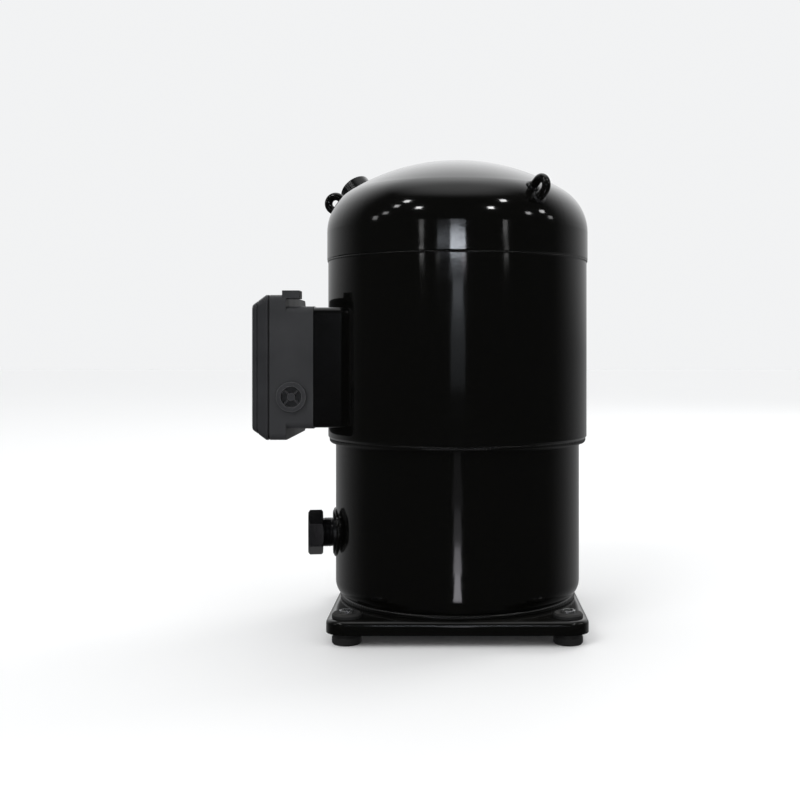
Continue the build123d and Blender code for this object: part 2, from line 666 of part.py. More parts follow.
with BuildPart() as terminal_box:
    box_slab(BOX_WIDTH, BOX_HEIGHT, BOX_CORNER_R, -BOX_BACK_X, -BOX_MOUTH_X)
    box_slab(BOX_WIDTH, lip_height, BOX_CORNER_R, -BOX_LIP_X, -BOX_MOUTH_X)
    box_slab(
        BOX_WIDTH - 2 * BOX_WALL,
        BOX_HEIGHT - 2 * BOX_WALL,
        BOX_CORNER_R - BOX_WALL,
        -BOX_BACK_X + BOX_WALL,
        -BOX_MOUTH_X,
        mode=Mode.SUBTRACT,
    )
    box_slab(
        BOX_WIDTH - 2 * BOX_WALL,
        lip_height - 2 * BOX_WALL,
        BOX_CORNER_R - BOX_WALL,
        -BOX_LIP_X + BOX_WALL,
        -BOX_MOUTH_X,
        mode=Mode.SUBTRACT,
    )
    box_slab(FENCE_OPENING, FENCE_OPENING, 10.0, 120.0, 140.0, mode=Mode.SUBTRACT)
    with Locations(TERMINAL_PLANE.offset(120.0)):
        with GridLocations(BOX_SCREW_SPREAD[0], BOX_SCREW_SPREAD[1], 2, 2):
            Cylinder(BOX_SCREW_R + GAP, 20.0, align=UPWARD, mode=Mode.SUBTRACT)
    bar(CONDUIT_R, 50.0, 80.0, plane=side_entry_front, mode=Mode.SUBTRACT)
    bar(CONDUIT_R, 50.0, 80.0, plane=side_entry_rear, mode=Mode.SUBTRACT)
    block((LUG_FRONT_X, LUG_SIDE_Y, lug_low), (LUG_BACK_X, LUG_SIDE_Y + LUG_WIDTH, lug_high))
    with Locations((LUG_BACK_X - 5.3, LUG_SIDE_Y + LUG_WIDTH / 2, lug_high)):
        Hole(LUG_HOLE_R, depth=LUG_DEPTH)
    for side_y, base_z in ((-60.0, BOX_LOW_Z + 1.0), (52.0, BOX_HIGH_Z - 6.5)):
        block(
            (ANCHOR_FRONT_X, side_y, base_z),
            (ANCHOR_BACK_X, side_y + ANCHOR_WIDTH, base_z + ANCHOR_DEPTH),
        )
terminal_box.part.label = "terminal_box"
export_step(terminal_box.part, "parts/terminal_box.step")

with BuildPart() as box_screws:
    with Locations(TERMINAL_PLANE.offset(-BOX_BACK_X - SADDLE_WALL - 4.0)):
        with GridLocations(BOX_SCREW_SPREAD[0], BOX_SCREW_SPREAD[1], 2, 2):
            Cylinder(BOX_SCREW_R, SADDLE_WALL + BOX_WALL + 4.0, align=UPWARD)
    with Locations(TERMINAL_PLANE.offset(-BOX_BACK_X + BOX_WALL)):
        with GridLocations(BOX_SCREW_SPREAD[0], BOX_SCREW_SPREAD[1], 2, 2):
            Cylinder(4.8, 2.8, align=UPWARD)
            Box(1.2, 7.0, 3.0, align=UPWARD, mode=Mode.SUBTRACT)
box_screws.part.label = "box_screws"
export_step(box_screws.part, "parts/box_screws.step")

with BuildPart() as ground_screw:
    with Locations(TERMINAL_PLANE.offset(-BOX_BACK_X + BOX_WALL)):
        with Locations((0, -46.0, 0)):
            Cylinder(4.0, 3.0, align=UPWARD)
            with BuildSketch(TERMINAL_PLANE.offset(-BOX_BACK_X + BOX_WALL + 3.0)):
                with Locations((0, -46.0)):
                    RegularPolygon(5.0, 6)
            extrude(amount=4.0)
ground_screw.part.label = "ground_screw"
export_step(ground_screw.part, "parts/ground_screw.step")

# ---------------------------------------------------------------- terminal box cover

COVER_WALL = 2.5
COVER_GASKET_WALL = 1.6
GASKET_INSET = 1.5               # the gasket lies back from the edges, as a dark line
COVER_BACK_X = BOX_MOUTH_X - COVER_GASKET_WALL
COVER_RIM = 2.0                  # straight part of the cover's side
FACE_INSET = 8.0                 # how far the bevel leads in, above and below
FACE_SIDE_INSET = 2.5            # and at the sides
GROOVE_LOW = 177.6               # a groove moulded round the bevel
GROOVE_HIGH = 178.8
GROOVE_DEPTH = 1.2

with BuildPart() as cover_gasket:
    box_slab(
        BOX_WIDTH - 2 * GASKET_INSET,
        lip_height - 2 * GASKET_INSET,
        BOX_CORNER_R - GASKET_INSET,
        -BOX_MOUTH_X,
        -COVER_BACK_X,
    )
    box_slab(
        BOX_WIDTH - 2 * BOX_WALL,
        lip_height - 2 * BOX_WALL,
        BOX_CORNER_R - BOX_WALL,
        -BOX_MOUTH_X,
        -COVER_BACK_X,
        mode=Mode.SUBTRACT,
    )
cover_gasket.part.label = "cover_gasket"
export_step(cover_gasket.part, "parts/cover_gasket.step")


def cover_blank(shrink, front):
    """The cover's pan: straight at the rim, then bevelled in to its face."""
    width = BOX_WIDTH - 2 * shrink
    height = lip_height - 2 * shrink
    corner = BOX_CORNER_R - shrink / 2
    with BuildPart() as blank:
        with BuildSketch(TERMINAL_PLANE.offset(-COVER_BACK_X)):
            RectangleRounded(width, height, corner)
        extrude(amount=COVER_RIM)
        with BuildSketch(TERMINAL_PLANE.offset(-COVER_BACK_X + COVER_RIM)):
            RectangleRounded(width, height, corner)
        with BuildSketch(TERMINAL_PLANE.offset(front - 1.0)):
            RectangleRounded(width - 2 * FACE_SIDE_INSET, height - 2 * FACE_INSET, corner)
        loft()
        with BuildSketch(TERMINAL_PLANE.offset(front - 1.0)):
            RectangleRounded(width - 2 * FACE_SIDE_INSET, height - 2 * FACE_INSET, corner)
        with BuildSketch(TERMINAL_PLANE.offset(front)):
            RectangleRounded(
                width - 2 * FACE_SIDE_INSET - 2.0,
                height - 2 * FACE_INSET - 2.0,
                corner - 1.0,
            )
        loft()
    return blank.part


bevel_share = (GROOVE_LOW + COVER_BACK_X - COVER_RIM) / (-COVER_FACE_X - 1.0 + COVER_BACK_X - COVER_RIM)
groove_width = BOX_WIDTH - 2 * (FACE_SIDE_INSET * bevel_share + GROOVE_DEPTH)
groove_height = lip_height - 2 * (FACE_INSET * bevel_share + GROOVE_DEPTH)

with BuildPart() as cover_groove:
    box_slab(BOX_WIDTH, lip_height, BOX_CORNER_R, GROOVE_LOW, GROOVE_HIGH)
    box_slab(
        groove_width,
        groove_height,
        BOX_CORNER_R,
        GROOVE_LOW,
        GROOVE_HIGH,
        mode=Mode.SUBTRACT,
    )

with BuildPart() as terminal_cover:
    add(cover_blank(0.0, -COVER_FACE_X))
    add(cover_groove.part, mode=Mode.SUBTRACT)
    add(cover_blank(COVER_WALL, -COVER_FACE_X - COVER_WALL), mode=Mode.SUBTRACT)
    bar(COVER_SCREW_R + 0.25, 160.0, 190.0, plane=TERMINAL_PLANE, mode=Mode.SUBTRACT)
terminal_cover.part.label = "terminal_cover"
export_step(terminal_cover.part, "parts/terminal_cover.step")

COVER_SCREW_HEAD_R = 6.0

with BuildPart() as cover_screw:
    bar(COVER_SCREW_R, COVER_SCREW_START, -COVER_FACE_X + 0.4, plane=TERMINAL_PLANE)
    bar(COVER_SCREW_HEAD_R, -COVER_FACE_X, -COVER_FACE_X + 3.6, plane=TERMINAL_PLANE)
    with Locations(TERMINAL_PLANE.offset(-COVER_FACE_X + 2.2)):
        Box(1.4, 2 * COVER_SCREW_HEAD_R + 1.0, 2.0, align=UPWARD, mode=Mode.SUBTRACT)
cover_screw.part.label = "cover_screw"
export_step(cover_screw.part, "parts/cover_screw.step")

# ---------------------------------------------------------------- conduit plug

PLUG_FACE = BOX_WIDTH / 2 + 3.0
PLUG_FLOOR = 61.0                # floor of the plug's well, from the middle of the box
PLUG_R = 13.3
PLUG_WELL_R = 9.2
PLUG_HUB_R = 3.5

with BuildPart() as conduit_plug:
    bar(PLUG_R, BOX_WIDTH / 2, PLUG_FACE, plane=side_entry_front)
    bar(CONDUIT_R - 0.1, 58.0, BOX_WIDTH / 2, plane=side_entry_front)
    bar(PLUG_WELL_R, 59.5, PLUG_FACE, plane=side_entry_front, mode=Mode.SUBTRACT)
    bar(PLUG_WELL_R, 59.0, PLUG_FLOOR + 0.5, plane=side_entry_front)
    bar(PLUG_HUB_R, PLUG_FLOOR, PLUG_FACE - 0.5, plane=side_entry_front)
    with BuildSketch(side_entry_front.offset(PLUG_FLOOR)):
        with PolarLocations(6.2, 4, start_angle=45):
            SlotOverall(6.4, 1.6)
    extrude(amount=4.0)
conduit_plug.part.label = "conduit_plug"
export_step(conduit_plug.part, "parts/conduit_plug.step")

# ---------------------------------------------------------------- partition and discharge valve

MUFFLER_Z = 366.0                # underside of the partition's flat middle
MUFFLER_WALL = 3.5
DISCHARGE_HOLE_R = 16.0
VALVE_SEAT_Z = MUFFLER_Z + MUFFLER_WALL
VALVE_LIFT = 4.0
VALVE_DISC_R = 20.0
VALVE_DISC_WALL = 1.6

with BuildPart() as muffler_plate:
    add(
        turned(
            (DISCHARGE_HOLE_R, MUFFLER_Z),
            (93.0, MUFFLER_Z),
            (111.5, NECK_TOP_Z),
            (NECK_R, NECK_TOP_Z),
            (NECK_R, NECK_TOP_Z + MUFFLER_WALL),
            (113.0, NECK_TOP_Z + MUFFLER_WALL),
            (94.5, VALVE_SEAT_Z),
            (DISCHARGE_HOLE_R, VALVE_SEAT_Z),
        )
    )
muffler_plate.part.label = "muffler_plate"
export_step(muffler_plate.part, "parts/muffler_plate.step")

with BuildPart() as check_valve_disc:
    bar(VALVE_DISC_R, VALVE_SEAT_Z, VALVE_SEAT_Z + VALVE_DISC_WALL)
    fillet(check_valve_disc.edges().filter_by(GeomType.CIRCLE), radius=0.4)
check_valve_disc.part.label = "check_valve_disc"
export_step(check_valve_disc.part, "parts/check_valve_disc.step")

CAGE_R = VALVE_DISC_R + 4.0
CAGE_BORE_R = VALVE_DISC_R + 0.5
CAGE_ROOF_Z = VALVE_SEAT_Z + VALVE_DISC_WALL + VALVE_LIFT + GAP
CAGE_TOP_Z = CAGE_ROOF_Z + 3.0

with BuildPart() as check_valve_cage:
    bar(CAGE_R + 6.0, VALVE_SEAT_Z, VALVE_SEAT_Z + 2.0)
    bar(CAGE_R, VALVE_SEAT_Z, CAGE_TOP_Z)
    bar(CAGE_BORE_R, VALVE_SEAT_Z, CAGE_ROOF_Z, mode=Mode.SUBTRACT)
    bar(5.0, CAGE_ROOF_Z, CAGE_TOP_Z, mode=Mode.SUBTRACT)
    for turn in range(4):
        with Locations(Location((0, 0, VALVE_SEAT_Z + 2.5), (0, 0, 90 * turn))):
            Box(60.0, 16.0, 2.6, align=(Align.MIN, Align.CENTER, Align.MIN), mode=Mode.SUBTRACT)
check_valve_cage.part.label = "check_valve_cage"
export_step(check_valve_cage.part, "parts/check_valve_cage.step")

# ---------------------------------------------------------------- scroll set

RIM_TOP_Z = 345.0
FIXED_TOP_R = 91.0
FIXED_PLATE_Z = VANE_TOP_Z + SHEET_GAP
FIXED_TOP_Z = FIXED_PLATE_Z + FIXED_PLATE_WALL
SEAL_GROOVE_DEPTH = 5.0
BOLT_CIRCLE_R = 99.5
BOLT_R = 4.0
PLATE_SWEEP_R = ORBITING_PLATE_R + ORBIT_R + 0.5
VANE_SWEEP_R = 80.0
SEAL_RIM_R = 72.0                # the raised rim and the groove that hold the floating seal
SEAL_GROOVE_R = 64.0
SEAL_HUB_R = 30.0
PORT_WELL_R = 20.0
PORT_R = 4.6
INLET_WIDTH = 40.0               # the two gas inlets through the fixed scroll's skirt
INLET_HEIGHT = 26.0
INLET_REACH = 2 * (FIXED_SCROLL_R - VANE_SWEEP_R) + 8.0


def scroll_vane(turn, centre, low, high):
    """A scroll vane: half-circles whose centres alternate and whose radii grow by one pitch.

    The same vane turned half round is parallel to it everywhere, one pitch away.
    """
    half_wall = VANE_WALL / 2
    with BuildPart() as vane:
        with BuildSketch(Plane.XY.offset(low)):
            with BuildLine():
                for half_turn in range(VANE_HALF_TURNS):
                    side = -1 if half_turn % 2 == 0 else 1
                    middle = (side * VANE_PITCH / 2, 0)
                    radius = VANE_PITCH * (half_turn + 1)
                    CenterArc(middle, radius + half_wall, 180 * half_turn, 180)
                    CenterArc(middle, radius - half_wall, 180 * half_turn, 180)
                CenterArc((VANE_PITCH / 2, 0), half_wall, 180, 180)
                outer_end = VANE_PITCH * (VANE_HALF_TURNS + 0.5)
                CenterArc((outer_end, 0), half_wall, 0, 180)
            make_face()
        extrude(amount=high - low)
    return Pos(centre, 0, 0) * Rot(0, 0, turn) * vane.part


with BuildPart() as fixed_scroll:
    bar(FIXED_SCROLL_R, THRUST_Z, RIM_TOP_Z)
    bar(FIXED_TOP_R, RIM_TOP_Z, FIXED_TOP_Z)
    bar(PLATE_SWEEP_R, THRUST_Z, FLANK_Z + SHEET_GAP, mode=Mode.SUBTRACT)
    bar(VANE_SWEEP_R, THRUST_Z, FIXED_PLATE_Z, mode=Mode.SUBTRACT)
    add(scroll_vane(0.0, 0.0, FLANK_Z + SHEET_GAP, FIXED_PLATE_Z))
    bar(SEAL_RIM_R, FIXED_TOP_Z, FIXED_TOP_Z + 6.0)
    bar(SEAL_GROOVE_R, FIXED_TOP_Z - SEAL_GROOVE_DEPTH, FIXED_TOP_Z + 6.0, mode=Mode.SUBTRACT)
    bar(SEAL_HUB_R, FIXED_TOP_Z - SEAL_GROOVE_DEPTH, FIXED_TOP_Z + 6.0)
    bar(PORT_WELL_R, FIXED_TOP_Z - SEAL_GROOVE_DEPTH, FIXED_TOP_Z + 6.0, mode=Mode.SUBTRACT)
    with Locations((-VANE_PITCH / 2 + 0.6, -2.0, FIXED_PLATE_Z)):
        Cylinder(PORT_R, 2 * FIXED_PLATE_WALL, align=UPWARD, mode=Mode.SUBTRACT)
    with Locations((0, 0, THRUST_Z)):
        with PolarLocations(BOLT_CIRCLE_R, 6, start_angle=30):
            Cylinder(BOLT_R + 0.3, RIM_TOP_Z - THRUST_Z, align=UPWARD, mode=Mode.SUBTRACT)
    for side in (-1, 1):
        with Locations((side * FIXED_SCROLL_R, 0, FLANK_Z + 2.0)):
            Box(INLET_REACH, INLET_WIDTH, INLET_HEIGHT, align=UPWARD, mode=Mode.SUBTRACT)
fixed_scroll.part.label = "fixed_scroll"
export_step(fixed_scroll.part, "parts/fixed_scroll.step")

DRIVE_HUB_R = 24.5
DRIVE_HUB_Z = 276.0
DRIVE_BORE_R = BUSH_R + BEARING_WALL + 2 * GAP
KEY_WIDTH = 10.0
KEY_LENGTH = 14.0
KEY_CIRCLE_R = 69.0
KEYWAY_LENGTH = KEY_LENGTH + 2 * ORBIT_R + 1.0
KEYWAY_WIDTH = KEY_WIDTH + 2 * GAP
UPPER_KEYWAY_DEPTH = 4.3
ORBIT_CENTRE = Plane.XY.move(Location((ORBIT_R, 0, 0)))

with BuildPart() as orbiting_scroll:
    bar(ORBITING_PLATE_R, THRUST_Z + GAP, FLANK_Z, plane=ORBIT_CENTRE)
    add(scroll_vane(180.0, ORBIT_R, FLANK_Z, VANE_TOP_Z))
    bar(DRIVE_HUB_R, DRIVE_HUB_Z, THRUST_Z + GAP, plane=ORBIT_CENTRE)
    bar(DRIVE_BORE_R, DRIVE_HUB_Z, PIN_TOP_Z + 2.0, plane=ORBIT_CENTRE, mode=Mode.SUBTRACT)
    for side in (-1, 1):
        with Locations((ORBIT_R, side * KEY_CIRCLE_R, THRUST_Z)):
            Box(KEYWAY_WIDTH, KEYWAY_LENGTH, UPPER_KEYWAY_DEPTH, align=UPWARD, mode=Mode.SUBTRACT)
orbiting_scroll.part.label = "orbiting_scroll"
export_step(orbiting_scroll.part, "parts/orbiting_scroll.step")

with BuildPart() as drive_bearing:
    bar(DRIVE_BORE_R - GAP, DRIVE_HUB_Z + 1.0, PIN_TOP_Z, plane=ORBIT_CENTRE)
    bar(BUSH_R + GAP, DRIVE_HUB_Z + 1.0, PIN_TOP_Z, plane=ORBIT_CENTRE, mode=Mode.SUBTRACT)
drive_bearing.part.label = "drive_bearing"
export_step(drive_bearing.part, "parts/drive_bearing.step")

SEAL_REST_Z = 350.4
SEAL_TRAVEL = 0.8

with BuildPart() as floating_seal:
    bar(63.0, SEAL_REST_Z, SEAL_REST_Z + 6.0)
    bar(48.0, SEAL_REST_Z, MUFFLER_Z - GAP - SEAL_TRAVEL)
    bar(41.0, SEAL_REST_Z + 6.0, MUFFLER_Z, mode=Mode.SUBTRACT)
    bar(31.0, SEAL_REST_Z, MUFFLER_Z, mode=Mode.SUBTRACT)
floating_seal.part.label = "floating_seal"
export_step(floating_seal.part, "parts/floating_seal.step")

# ---------------------------------------------------------------- Oldham coupling

OLDHAM_FLOOR_Z = 290.7
OLDHAM_LOW_Z = OLDHAM_FLOOR_Z + SHEET_GAP
OLDHAM_HIGH_Z = 297.5
OLDHAM_INNER_R = 62.5
OLDHAM_OUTER_R = 76.5
LOWER_KEYWAY_Z = 285.0

with BuildPart() as oldham_ring:
    bar(OLDHAM_OUTER_R, OLDHAM_LOW_Z, OLDHAM_HIGH_Z, plane=ORBIT_CENTRE)
    bar(OLDHAM_INNER_R, OLDHAM_LOW_Z, OLDHAM_HIGH_Z, plane=ORBIT_CENTRE, mode=Mode.SUBTRACT)
oldham_ring.part.label = "oldham_ring"
export_step(oldham_ring.part, "parts/oldham_ring.step")

upper_key_height = THRUST_Z + UPPER_KEYWAY_DEPTH - SHEET_GAP - OLDHAM_HIGH_Z
lower_key_height = OLDHAM_LOW_Z - LOWER_KEYWAY_Z - SHEET_GAP

with BuildPart() as oldham_keys:
    for side in (-1, 1):
        with Locations((ORBIT_R, side * KEY_CIRCLE_R, OLDHAM_HIGH_Z + 0.02)):
            Box(KEY_WIDTH, KEY_LENGTH, upper_key_height, align=UPWARD)
        with Locations((ORBIT_R + side * KEY_CIRCLE_R, 0, LOWER_KEYWAY_Z + SHEET_GAP - 0.02)):
            Box(KEY_LENGTH, KEY_WIDTH, lower_key_height, align=UPWARD)
oldham_keys.part.label = "oldham_keys"
export_step(oldham_keys.part, "parts/oldham_keys.step")

# ---------------------------------------------------------------- main frame

MAIN_BORE_R = MAIN_JOURNAL_R + BEARING_WALL + 2 * GAP
HUB_BOTTOM_Z = 232.0
WELL_R = 33.5
THRUST_PLATE_WALL = 2.0

with BuildPart() as main_frame:
    add(
        turned(
            (MAIN_BORE_R, HUB_BOTTOM_Z),
            (33.0, HUB_BOTTOM_Z),
            (36.0, HUB_BOTTOM_Z + 4.0),
            (44.0, JOURNAL_TOP_Z - 2.0),
            (60.0, 277.0),
            (98.0, 280.0),
            (104.0, 272.0),
            (UPPER_BORE_R - GAP, 272.0),
            (UPPER_BORE_R - GAP, THRUST_Z),
            (84.5, THRUST_Z),
            (84.5, OLDHAM_FLOOR_Z),
            (55.2, OLDHAM_FLOOR_Z),
            (55.2, THRUST_Z - THRUST_PLATE_WALL),
            (WELL_R, THRUST_Z - THRUST_PLATE_WALL),
            (WELL_R, JOURNAL_TOP_Z + SHEET_GAP),
            (MAIN_BORE_R, JOURNAL_TOP_Z + SHEET_GAP),
        )
    )
    for side in (-1, 1):
        with Locations((side * KEY_CIRCLE_R, 0, LOWER_KEYWAY_Z)):
            Box(KEYWAY_LENGTH, KEYWAY_WIDTH, 10.0, align=UPWARD, mode=Mode.SUBTRACT)
        with Locations((side * 118.0, 0, 270.0)):
            Box(20.0, 40.0, 40.0, align=UPWARD, mode=Mode.SUBTRACT)
    with Locations((0, 0, 284.0)):
        with PolarLocations(BOLT_CIRCLE_R, 6, start_angle=30):
            Cylinder(BOLT_R + GAP, 20.0, align=UPWARD, mode=Mode.SUBTRACT)
main_frame.part.label = "main_frame"
export_step(main_frame.part, "parts/main_frame.step")

with BuildPart() as thrust_plate:
    bar(54.8, THRUST_Z - THRUST_PLATE_WALL, THRUST_Z)
    bar(WELL_R + 0.5, THRUST_Z - THRUST_PLATE_WALL, THRUST_Z, mode=Mode.SUBTRACT)
thrust_plate.part.label = "thrust_plate"
export_step(thrust_plate.part, "parts/thrust_plate.step")

with BuildPart() as main_bearing:
    bar(MAIN_BORE_R - GAP, HUB_BOTTOM_Z + 1.0, JOURNAL_TOP_Z)
    bar(MAIN_JOURNAL_R + GAP, HUB_BOTTOM_Z + 1.0, JOURNAL_TOP_Z, mode=Mode.SUBTRACT)
main_bearing.part.label = "main_bearing"
export_step(main_bearing.part, "parts/main_bearing.step")

with BuildPart() as scroll_bolts:
    with Locations((0, 0, 285.0)):
        with PolarLocations(BOLT_CIRCLE_R, 6, start_angle=30):
            Cylinder(BOLT_R, RIM_TOP_Z - 285.0, align=UPWARD)
    with Locations((0, 0, RIM_TOP_Z)):
        with PolarLocations(BOLT_CIRCLE_R, 6, start_angle=30):
            Cylinder(6.5, 7.0, align=UPWARD)
    with BuildSketch(Plane.XY.offset(RIM_TOP_Z + 7.0)):
        with PolarLocations(BOLT_CIRCLE_R, 6, start_angle=30):
            RegularPolygon(3.6, 6)
    extrude(amount=-4.0, mode=Mode.SUBTRACT)
scroll_bolts.part.label = "scroll_bolts"
export_step(scroll_bolts.part, "parts/scroll_bolts.step")

# ---------------------------------------------------------------- crankshaft and what turns with it

SHOULDER_Z = 80.0
MAIN_JOURNAL_Z = 230.0
OIL_HOLE_R = 2.5

with BuildPart() as crankshaft:
    bar(LOWER_JOURNAL_R, SHAFT_BOTTOM_Z, SHOULDER_Z + GAP)
    bar(SHAFT_R, SHOULDER_Z + GAP, MAIN_JOURNAL_Z)
    bar(MAIN_JOURNAL_R, MAIN_JOURNAL_Z, JOURNAL_TOP_Z)
    bar(PIN_R, JOURNAL_TOP_Z, PIN_TOP_Z, plane=ORBIT_CENTRE)
    bar(OIL_HOLE_R, SHAFT_BOTTOM_Z, PIN_TOP_Z, plane=ORBIT_CENTRE, mode=Mode.SUBTRACT)
crankshaft.part.label = "crankshaft"
export_step(crankshaft.part, "parts/crankshaft.step")

with BuildPart() as eccentric_bush:
    bar(BUSH_R, DRIVE_HUB_Z - 4.0, PIN_TOP_Z, plane=ORBIT_CENTRE)
    bar(PIN_R + GAP, DRIVE_HUB_Z - 4.0, PIN_TOP_Z, plane=ORBIT_CENTRE, mode=Mode.SUBTRACT)
eccentric_bush.part.label = "eccentric_bush"
export_step(eccentric_bush.part, "parts/eccentric_bush.step")

UPPER_WEIGHT_Z = 208.0
UPPER_WEIGHT_TOP_Z = 226.0
UPPER_WEIGHT_R = 78.0
UPPER_WEIGHT_HUB_R = 27.0

with BuildPart() as upper_counterweight:
    bar(UPPER_WEIGHT_R, UPPER_WEIGHT_Z, UPPER_WEIGHT_TOP_Z)
    block((-6.0, -80.0, 200.0), (80.0, 80.0, 230.0), mode=Mode.SUBTRACT)
    bar(UPPER_WEIGHT_HUB_R, UPPER_WEIGHT_Z, UPPER_WEIGHT_TOP_Z)
    bar(SHAFT_R + GAP, UPPER_WEIGHT_Z, UPPER_WEIGHT_TOP_Z, mode=Mode.SUBTRACT)
upper_counterweight.part.label = "upper_counterweight"
export_step(upper_counterweight.part, "parts/upper_counterweight.step")

ROTOR_BOTTOM_Z = STACK_BOTTOM_Z + 2.0
ROTOR_TOP_Z = STACK_TOP_Z - 2.0
END_RING_HEIGHT = 6.0
BAR_R = 2.5
BAR_CIRCLE_R = 46.5

with BuildPart() as rotor_core:
    bar(ROTOR_R, ROTOR_BOTTOM_Z, ROTOR_TOP_Z)
    bar(SHAFT_R + GAP, ROTOR_BOTTOM_Z, ROTOR_TOP_Z, mode=Mode.SUBTRACT)
    with Locations((0, 0, ROTOR_BOTTOM_Z)):
        with PolarLocations(BAR_CIRCLE_R, CAGE_BARS):
            Cylinder(BAR_R + GAP, ROTOR_TOP_Z - ROTOR_BOTTOM_Z, align=UPWARD, mode=Mode.SUBTRACT)
        with PolarLocations(28.0, 6):
            Cylinder(4.0, ROTOR_TOP_Z - ROTOR_BOTTOM_Z, align=UPWARD, mode=Mode.SUBTRACT)
rotor_core.part.label = "rotor_core"
export_step(rotor_core.part, "parts/rotor_core.step")

with BuildPart() as rotor_cage:
    with Locations((0, 0, ROTOR_BOTTOM_Z)):
        with PolarLocations(BAR_CIRCLE_R, CAGE_BARS):
            Cylinder(BAR_R, ROTOR_TOP_Z - ROTOR_BOTTOM_Z, align=UPWARD)
    for ring_z in (ROTOR_BOTTOM_Z - END_RING_HEIGHT, ROTOR_TOP_Z):
        with Locations((0, 0, ring_z)):
            Cylinder(51.0, END_RING_HEIGHT, align=UPWARD)
            Cylinder(38.0, END_RING_HEIGHT, align=UPWARD, mode=Mode.SUBTRACT)
rotor_cage.part.label = "rotor_cage"
export_step(rotor_cage.part, "parts/rotor_cage.step")

LOWER_WEIGHT_Z = ROTOR_BOTTOM_Z - END_RING_HEIGHT - 12.0

with BuildPart() as lower_counterweight:
    bar(50.0, LOWER_WEIGHT_Z, LOWER_WEIGHT_Z + 12.0)
    bar(26.0, LOWER_WEIGHT_Z, LOWER_WEIGHT_Z + 12.0, mode=Mode.SUBTRACT)
    block((-60.0, -60.0, 80.0), (4.0, 60.0, 120.0), mode=Mode.SUBTRACT)
lower_counterweight.part.label = "lower_counterweight"
export_step(lower_counterweight.part, "parts/lower_counterweight.step")

with BuildPart() as oil_pickup:
    add(
        turned(
            (2.5, 29.0),
            (5.0, 29.0),
            (9.0, 40.0),
            (9.0, SHAFT_BOTTOM_Z),
            (8.0, SHAFT_BOTTOM_Z),
            (8.0, 40.4),
        )
    )
oil_pickup.part.label = "oil_pickup"
export_step(oil_pickup.part, "parts/oil_pickup.step")

# ---------------------------------------------------------------- motor stator

STATOR_R = LOWER_BORE_R - GAP
SLOT_INNER_R = 59.0
SLOT_OUTER_R = 82.0
SLOT_WIDTH = 8.0
FLAT_DISTANCE = 105.5

with BuildPart() as stator_core:
    with BuildSketch(Plane.XY.offset(STACK_BOTTOM_Z)):
        Circle(STATOR_R)
        RegularPolygon(FLAT_DISTANCE, 6, major_radius=False, mode=Mode.INTERSECT)
        Circle(STATOR_BORE_R, mode=Mode.SUBTRACT)
        with PolarLocations(0, SLOTS):
            with Locations(((SLOT_INNER_R + SLOT_OUTER_R) / 2, 0)):
                Rectangle(SLOT_OUTER_R - SLOT_INNER_R, SLOT_WIDTH, mode=Mode.SUBTRACT)
            with Locations((SLOT_INNER_R - 4.0, 0)):
                Rectangle(9.0, 2.6, mode=Mode.SUBTRACT)
    extrude(amount=STACK_HEIGHT)
stator_core.part.label = "stator_core"
export_step(stator_core.part, "parts/stator_core.step")

with BuildPart() as stator_windings:
    with BuildSketch(Plane.XY.offset(STACK_BOTTOM_Z)):
        with PolarLocations(0, SLOTS):
            with Locations(((SLOT_INNER_R + SLOT_OUTER_R) / 2, 0)):
                Rectangle(SLOT_OUTER_R - SLOT_INNER_R - 0.6, SLOT_WIDTH - 0.6)
    extrude(amount=STACK_HEIGHT)
    for root, tip in (
        (STACK_BOTTOM_Z, STACK_BOTTOM_Z - END_TURN),
        (STACK_TOP_Z, STACK_TOP_Z + END_TURN),
    ):
        shoulder = tip + (root - tip) * 0.3
        add(
            turned(
                (58.0, root),
                (58.0, shoulder),
                (64.0, tip),
                (86.0, tip),
                (92.0, shoulder),
                (92.0, root),
            )
        )
stator_windings.part.label = "stator_windings"
export_step(stator_windings.part, "parts/stator_windings.step")

LEAD_R = 2.0
LEAD_X = -87.0

with BuildPart() as motor_leads:
    for across, above in ((0.0, 11.0), (9.53, -5.5), (-9.53, -5.5)):
        pin_end = PIN_INNER_LENGTH - CUP_FLOOR
        lead_z = TERMINAL_Z + above
        with BuildLine() as route:
            FilletPolyline(
                (pin_end, across, lead_z),
                (LEAD_X, across, lead_z),
                (LEAD_X, across, STACK_TOP_Z + END_TURN),
                radius=5.0,
            )
        with BuildSketch(Plane(origin=route.line @ 0, z_dir=route.line % 0)):
            Circle(LEAD_R)
        sweep()
motor_leads.part.label = "motor_leads"
export_step(motor_leads.part, "parts/motor_leads.step")

# ---------------------------------------------------------------- lower bearing

LOWER_BORE_BEARING_R = LOWER_JOURNAL_R + BEARING_WALL + 2 * GAP
BRACKET_LOW_Z = 54.0
BRACKET_HIGH_Z = 78.0
BRACKET_R = 110.0
BRACKET_ARM = 22.0
BRACKET_ARM_DEPTH = 12.0
BRACKET_HUB_R = 27.0

